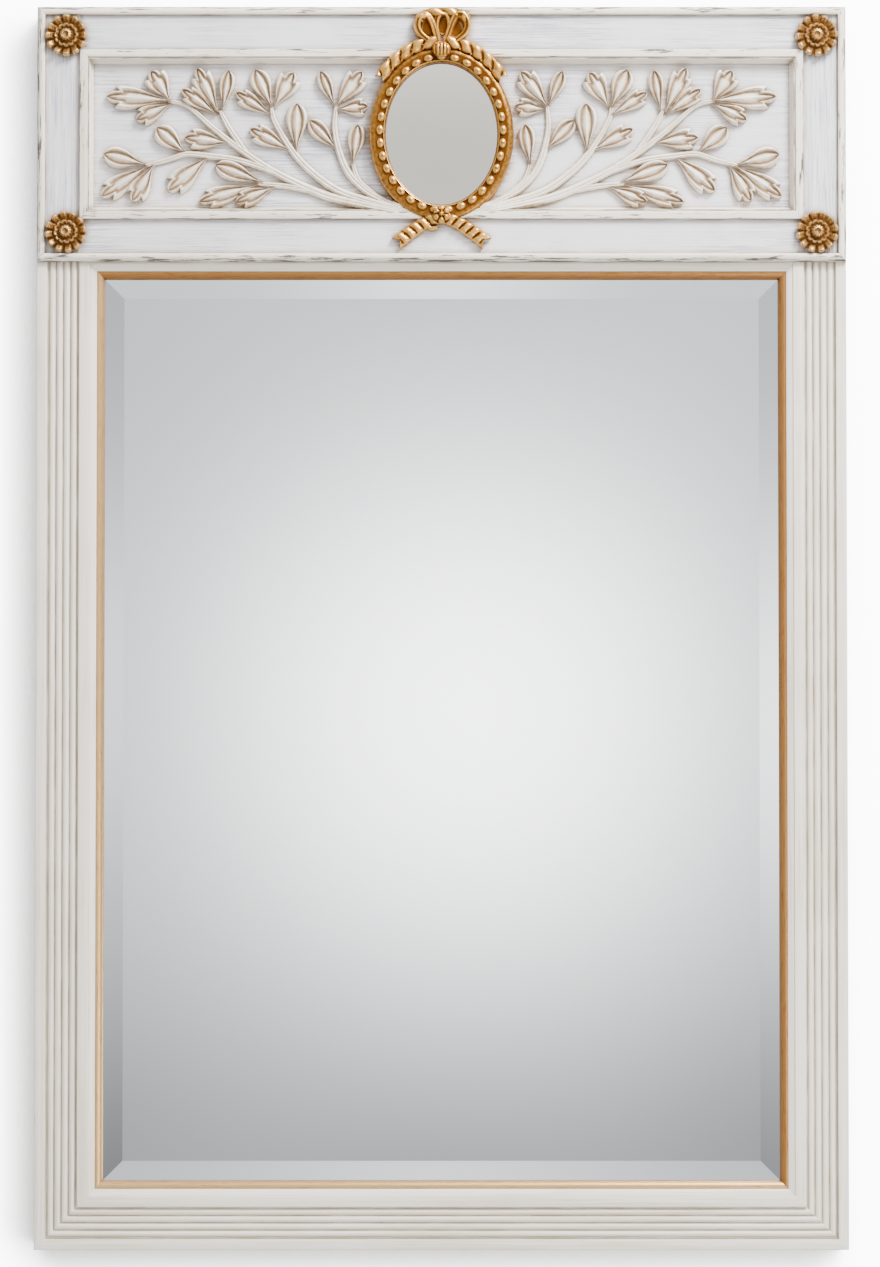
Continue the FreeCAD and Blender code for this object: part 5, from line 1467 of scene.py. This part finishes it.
class MIRROR_OT_leaf_sprays(bpy.types.Operator):
    """Carve the two sprays of leaves on the panel"""

    bl_idname = "mirror.leaf_sprays"
    bl_label = "Leaf Sprays"

    def execute(self, context):
        sizes = context.scene.wall_mirror.ornament
        panel = front_level("frieze_panel")
        half_width = -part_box("panel_moulding_left")[1].x
        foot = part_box("panel_moulding_bottom")[1].z
        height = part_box("panel_moulding_top")[0].z - foot
        for side, sign in (("left", -1), ("right", 1)):

            def spot(across, up):
                """The place of a pair of shares on this half of the panel."""
                return sign * across * half_width, foot + up * height

            parts = []
            for foot_across, foot_up, tip_across, tip_up, width, lobes in LEAF_SHARES:
                start = Vector(spot(foot_across, foot_up))
                tip = Vector(spot(tip_across, tip_up))
                parts.append(carve_leaf(sizes, start, tip, width, lobes, panel))
            for stem in STEM_SHARES:
                points = [(*spot(across, up), width, relief) for across, up, width, relief in stem]
                parts.append(carve_stem(sizes, smooth_line(points, steps=6), panel))
            add_piece(f"leaf_spray_{side}", parts, paint("carved"), gain=5, passes=1)
        return {"FINISHED"}


def within_oval(x, z, gap):
    """Whether a place lies inside the oval frame, or nearer to it than the gap."""
    low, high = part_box("oval_frame")
    middle = (low + high) / 2
    reach = high - middle
    return math.hypot((x - middle.x) / (reach.x + gap), (z - middle.z) / (reach.z + gap)) < 1


def carve_leaf(sizes, start, tip, width, lobes, panel):
    """One leaf: a raised rim and a vein with hollows between them."""
    along = (tip - start).normalized()
    reach = (tip - start).length
    rows = []
    for vein, out, half in smooth_line(LEAF_OUTLINES[lobes], steps=3):
        spot = start + along * reach * vein
        rows.append((spot.x, spot.y, along, sizes.leaf_width / 2 * width * half, (out - vein) * reach))

    def top(share, across):
        """Rim and vein stand high, and the leaf sinks towards its foot and its very tip."""
        envelope = 0.6 + 0.4 * ease(share * 2) - 0.3 * ease((share - 0.85) / 0.15)
        rim = hill(abs(across) - 0.80, 0.20)
        vein = 0.95 * hill(across, 0.34) * (1 - 0.3 * share)
        relief = sizes.leaf_relief * envelope * (0.30 + 0.70 * max(rim, vein))
        return panel + relief * (1 - 0.5 * abs(across) ** 12)

    return carve(rows, top, panel, columns=16)


def carve_stem(sizes, line, panel):
    """One round stem with a fine groove. It ends under the oval frame's edge, and is lower beside it."""
    line = [
        (x, z, width, min(relief, sizes.stem_rise) if within_oval(x, z, sizes.stem_beside) else relief)
        for x, z, width, relief in line if not within_oval(x, z, -sizes.stem_lap)
    ]
    rows = [(x, z, along, sizes.stem_width / 2 * width, 0)
            for (x, z, width, relief), along in zip(line, directions(line))]

    def top(share, across):
        """Round across the stem."""
        relief = line[round(share * (len(line) - 1))][3]
        crest = 1 - 0.45 * abs(across) ** 2.2
        return panel + sizes.stem_relief * relief * crest - sizes.stem_groove * hill(across, 0.22)

    return carve(rows, top, panel, columns=10)


class MIRROR_OT_hanging_gear(bpy.types.Operator):
    """Make the swinging rings, and finish the straps, screws, rail, keys and dowels"""

    bl_idname = "mirror.hanging_gear"
    bl_label = "Hanging Gear"

    def execute(self, context):
        sizes = context.scene.wall_mirror.hanger
        zinc = finished_once("zinc_steel", build_zinc)
        finish_node("hanging_rail", raw_pine("level"))
        for node in ("mitre_key_left", "mitre_key_right", "frame_dowels"):
            finish_node(node, raw_pine("upright"))
        for node in ("hanger_strap_left", "hanger_strap_right", "hanger_screws", "backboard_screws"):
            finish_node(node, zinc)
        line = ring_line(sizes)
        for joint in frame["joints"]:
            body = joint["child"]
            node = body.replace("ring", "hanger_ring")
            pivot = Vector(joint["pos_m"])
            reach = sizes.leg + (sizes.inside_width + sizes.wire) / 2
            lean = math.asin((front_level(node) + pivot.y - sizes.wire / 2) / reach)
            rings = []
            for across, up, turn in line:
                ring = []
                for step in range(WIRE_STEPS):
                    wire_turn = math.tau * step / WIRE_STEPS
                    out = math.cos(wire_turn) * sizes.wire / 2
                    height = up + math.sin(turn) * out
                    depth = math.sin(wire_turn) * sizes.wire / 2
                    ring.append(pivot + Vector((across + math.cos(turn) * out,
                                                -depth * math.cos(lean) - height * math.sin(lean),
                                                height * math.cos(lean) - depth * math.sin(lean))))
                rings.append(ring)
            add_piece(node, [swept(rings)], zinc, body=body)
        return {"FINISHED"}


def ring_line(sizes):
    """Middle line of a D ring whose straight side lies on its pivot: across, up and the way out."""
    side = (sizes.inside_width + sizes.wire) / 2
    line = []
    for step in range(BEND_STEPS + 1):
        turn = math.pi * step / BEND_STEPS
        line.append((math.cos(turn) * side, sizes.leg + math.sin(turn) * side, turn))
    for sign, start in ((-1, math.pi), (1, math.pi * 1.5)):
        for step in range(CORNER_STEPS + 1):
            turn = start + math.pi / 2 * step / CORNER_STEPS
            line.append((math.cos(turn) * sizes.corner + (side - sizes.corner) * sign,
                         sizes.corner + math.sin(turn) * sizes.corner, turn))
    return line


class MIRROR_OT_stage(bpy.types.Operator):
    """Set up the camera, the soft room light, the lamps, the wall and the floor"""

    bl_idname = "mirror.stage"
    bl_label = "Stage"

    def execute(self, context):
        stage = context.scene.wall_mirror.stage
        lens_camera = bpy.data.cameras.new("camera")
        camera = bpy.data.objects.new("camera", lens_camera)
        context.scene.collection.objects.link(camera)
        front = front_level("frame_stile_left")
        drop = math.tan(stage.pitch) * stage.distance
        camera.location = (stage.centre_x, -front - stage.distance, stage.centre_z - drop)
        camera.rotation_euler = (math.pi / 2 + stage.pitch, 0, 0)
        lens_camera.lens = lens_camera.sensor_width * stage.distance / (stage.image_height * stage.pixel)
        context.scene.camera = camera

        for name, (size, place) in LAMPS.items():
            light = bpy.data.lights.new(f"{name}_light", "AREA")
            light.energy = getattr(stage, f"{name}_power")
            light.size = size
            lamp = bpy.data.objects.new(f"{name}_light", light)
            lamp.location = place
            lamp.rotation_euler = (Vector(LAMP_AIM) - lamp.location).to_track_quat("-Z", "Y").to_euler()
            context.scene.collection.objects.link(lamp)

        add_room_light(stage)
        reach, gap, floor = stage.wall_reach, stage.wall_gap, -stage.floor_drop
        quads = {
            "wall": [(-reach, gap, floor), (reach, gap, floor), (reach, gap, reach), (-reach, gap, reach)],
            "floor": [(-reach, -stage.floor_depth, floor), (reach, -stage.floor_depth, floor),
                      (reach, gap, floor), (-reach, gap, floor)],
        }
        glows = {"wall": stage.wall_glow, "floor": stage.floor_glow}
        for name, corners in quads.items():
            mesh = bpy.data.meshes.new(name)
            mesh.from_pydata(corners, [], [(0, 1, 2, 3)])
            mesh.materials.append(build_plaster(f"{name}_plaster", stage.wall[:], glows[name]))
            thing = bpy.data.objects.new(name, mesh)
            context.scene.collection.objects.link(thing)
        return {"FINISHED"}


def add_room_light(stage):
    """An even grey room, with the lighter and darker parts that the mirror sees."""
    world = bpy.data.worlds.new("room")
    bpy.context.scene.world = world
    world.use_nodes = True
    tree = world.node_tree
    facing = tree.nodes.new("ShaderNodeTexCoord").outputs["Generated"]
    total = stage.sky_strength
    for azimuth, elevation, spread, light in ROOM_PATCHES:
        across, up = math.radians(azimuth), math.radians(elevation)
        aim = (math.sin(across) * math.cos(up), -math.cos(across) * math.cos(up), math.sin(up))
        near = add_node(tree, "ShaderNodeVectorMath", {0: facing, 1: aim}, operation="DOT_PRODUCT")
        ahead = maths(tree, "MAXIMUM", near.outputs["Value"], 0.0)
        patch = maths(tree, "POWER", ahead, 1 / math.radians(spread) ** 2)
        total = plus(tree, total, times(tree, patch, light))
    fill_inputs(tree, tree.nodes["Background"], {"Color": SKY_COLOUR, "Strength": total})


def build_plaster(name, pale, glow):
    """Plain pale plaster that glows by itself, except in the soft shadow to the left of and below the
    mirror. Only the camera sees it, and only from the front, so the back of the mirror shows."""
    made, tree, shader = new_material(name)
    shade = cloud(tree, object_place(tree), 3.0, 2.0)
    from_right = add_node(tree, "ShaderNodeNormal")
    from_right.outputs["Normal"].default_value = Vector(SHADE_WAY).normalized()
    open_sky = add_node(tree, "ShaderNodeAmbientOcclusion", {
        "Distance": SHADE_REACH, "Normal": from_right.outputs["Normal"]}, samples=8).outputs["AO"]
    fill_inputs(tree, shader, {
        "Base Color": add_mix(tree, shade, darker(pale, 0.97), pale), "Roughness": 0.9,
        "Specular IOR Level": 0.1, "Emission Color": (1, 1, 1, 1),
        "Emission Strength": times(tree, between(tree, open_sky, 0.52, 1.0), glow),
    })
    behind = tree.nodes.new("ShaderNodeNewGeometry").outputs["Backfacing"]
    seen = tree.nodes.new("ShaderNodeLightPath").outputs["Is Camera Ray"]
    either = maths(tree, "MAXIMUM", behind, minus(tree, 1.0, seen))
    clear = tree.nodes.new("ShaderNodeBsdfTransparent")
    blend = add_node(tree, "ShaderNodeMixShader", {0: either, 1: shader.outputs[0], 2: clear.outputs[0]})
    fill_inputs(tree, tree.nodes["Material Output"], {"Surface": blend.outputs[0]})
    return made


class MIRROR_PT_sidebar(bpy.types.Panel):
    """Wall mirror tools in the 3D view's sidebar"""

    bl_idname = "MIRROR_PT_sidebar"
    bl_label = "Wall Mirror"
    bl_space_type = "VIEW_3D"
    bl_region_type = "UI"
    bl_category = "Wall Mirror"

    def draw(self, context):
        for step in STEPS:
            self.layout.operator(step.bl_idname)


STEPS = (
    MIRROR_OT_stage, MIRROR_OT_reeded_frame, MIRROR_OT_gilt_slips, MIRROR_OT_header_boards,
    MIRROR_OT_mirror_plates, MIRROR_OT_rosettes, MIRROR_OT_oval_frame, MIRROR_OT_ribbon_bow,
    MIRROR_OT_ribbon_ends, MIRROR_OT_leaf_sprays, MIRROR_OT_hanging_gear,
)
CLASSES = (
    FrameSizes, HeaderSizes, OrnamentSizes, HangerSizes, FinishColours, StageSettings, MirrorSettings,
    *STEPS, MIRROR_PT_sidebar,
)


def register():
    """Makes the classes known and adds the settings to the scene."""
    for kind in CLASSES:
        bpy.utils.register_class(kind)
    bpy.types.Scene.wall_mirror = PointerProperty(type=MirrorSettings)


def unregister():
    """Takes the settings and classes away again."""
    del bpy.types.Scene.wall_mirror
    for kind in reversed(CLASSES):
        bpy.utils.unregister_class(kind)


def main():
    """Makes every piece in turn."""
    register()
    for step in STEPS:
        group, name = step.bl_idname.split(".")
        getattr(getattr(bpy.ops, group), name)()


if __name__ == "__main__":
    main()
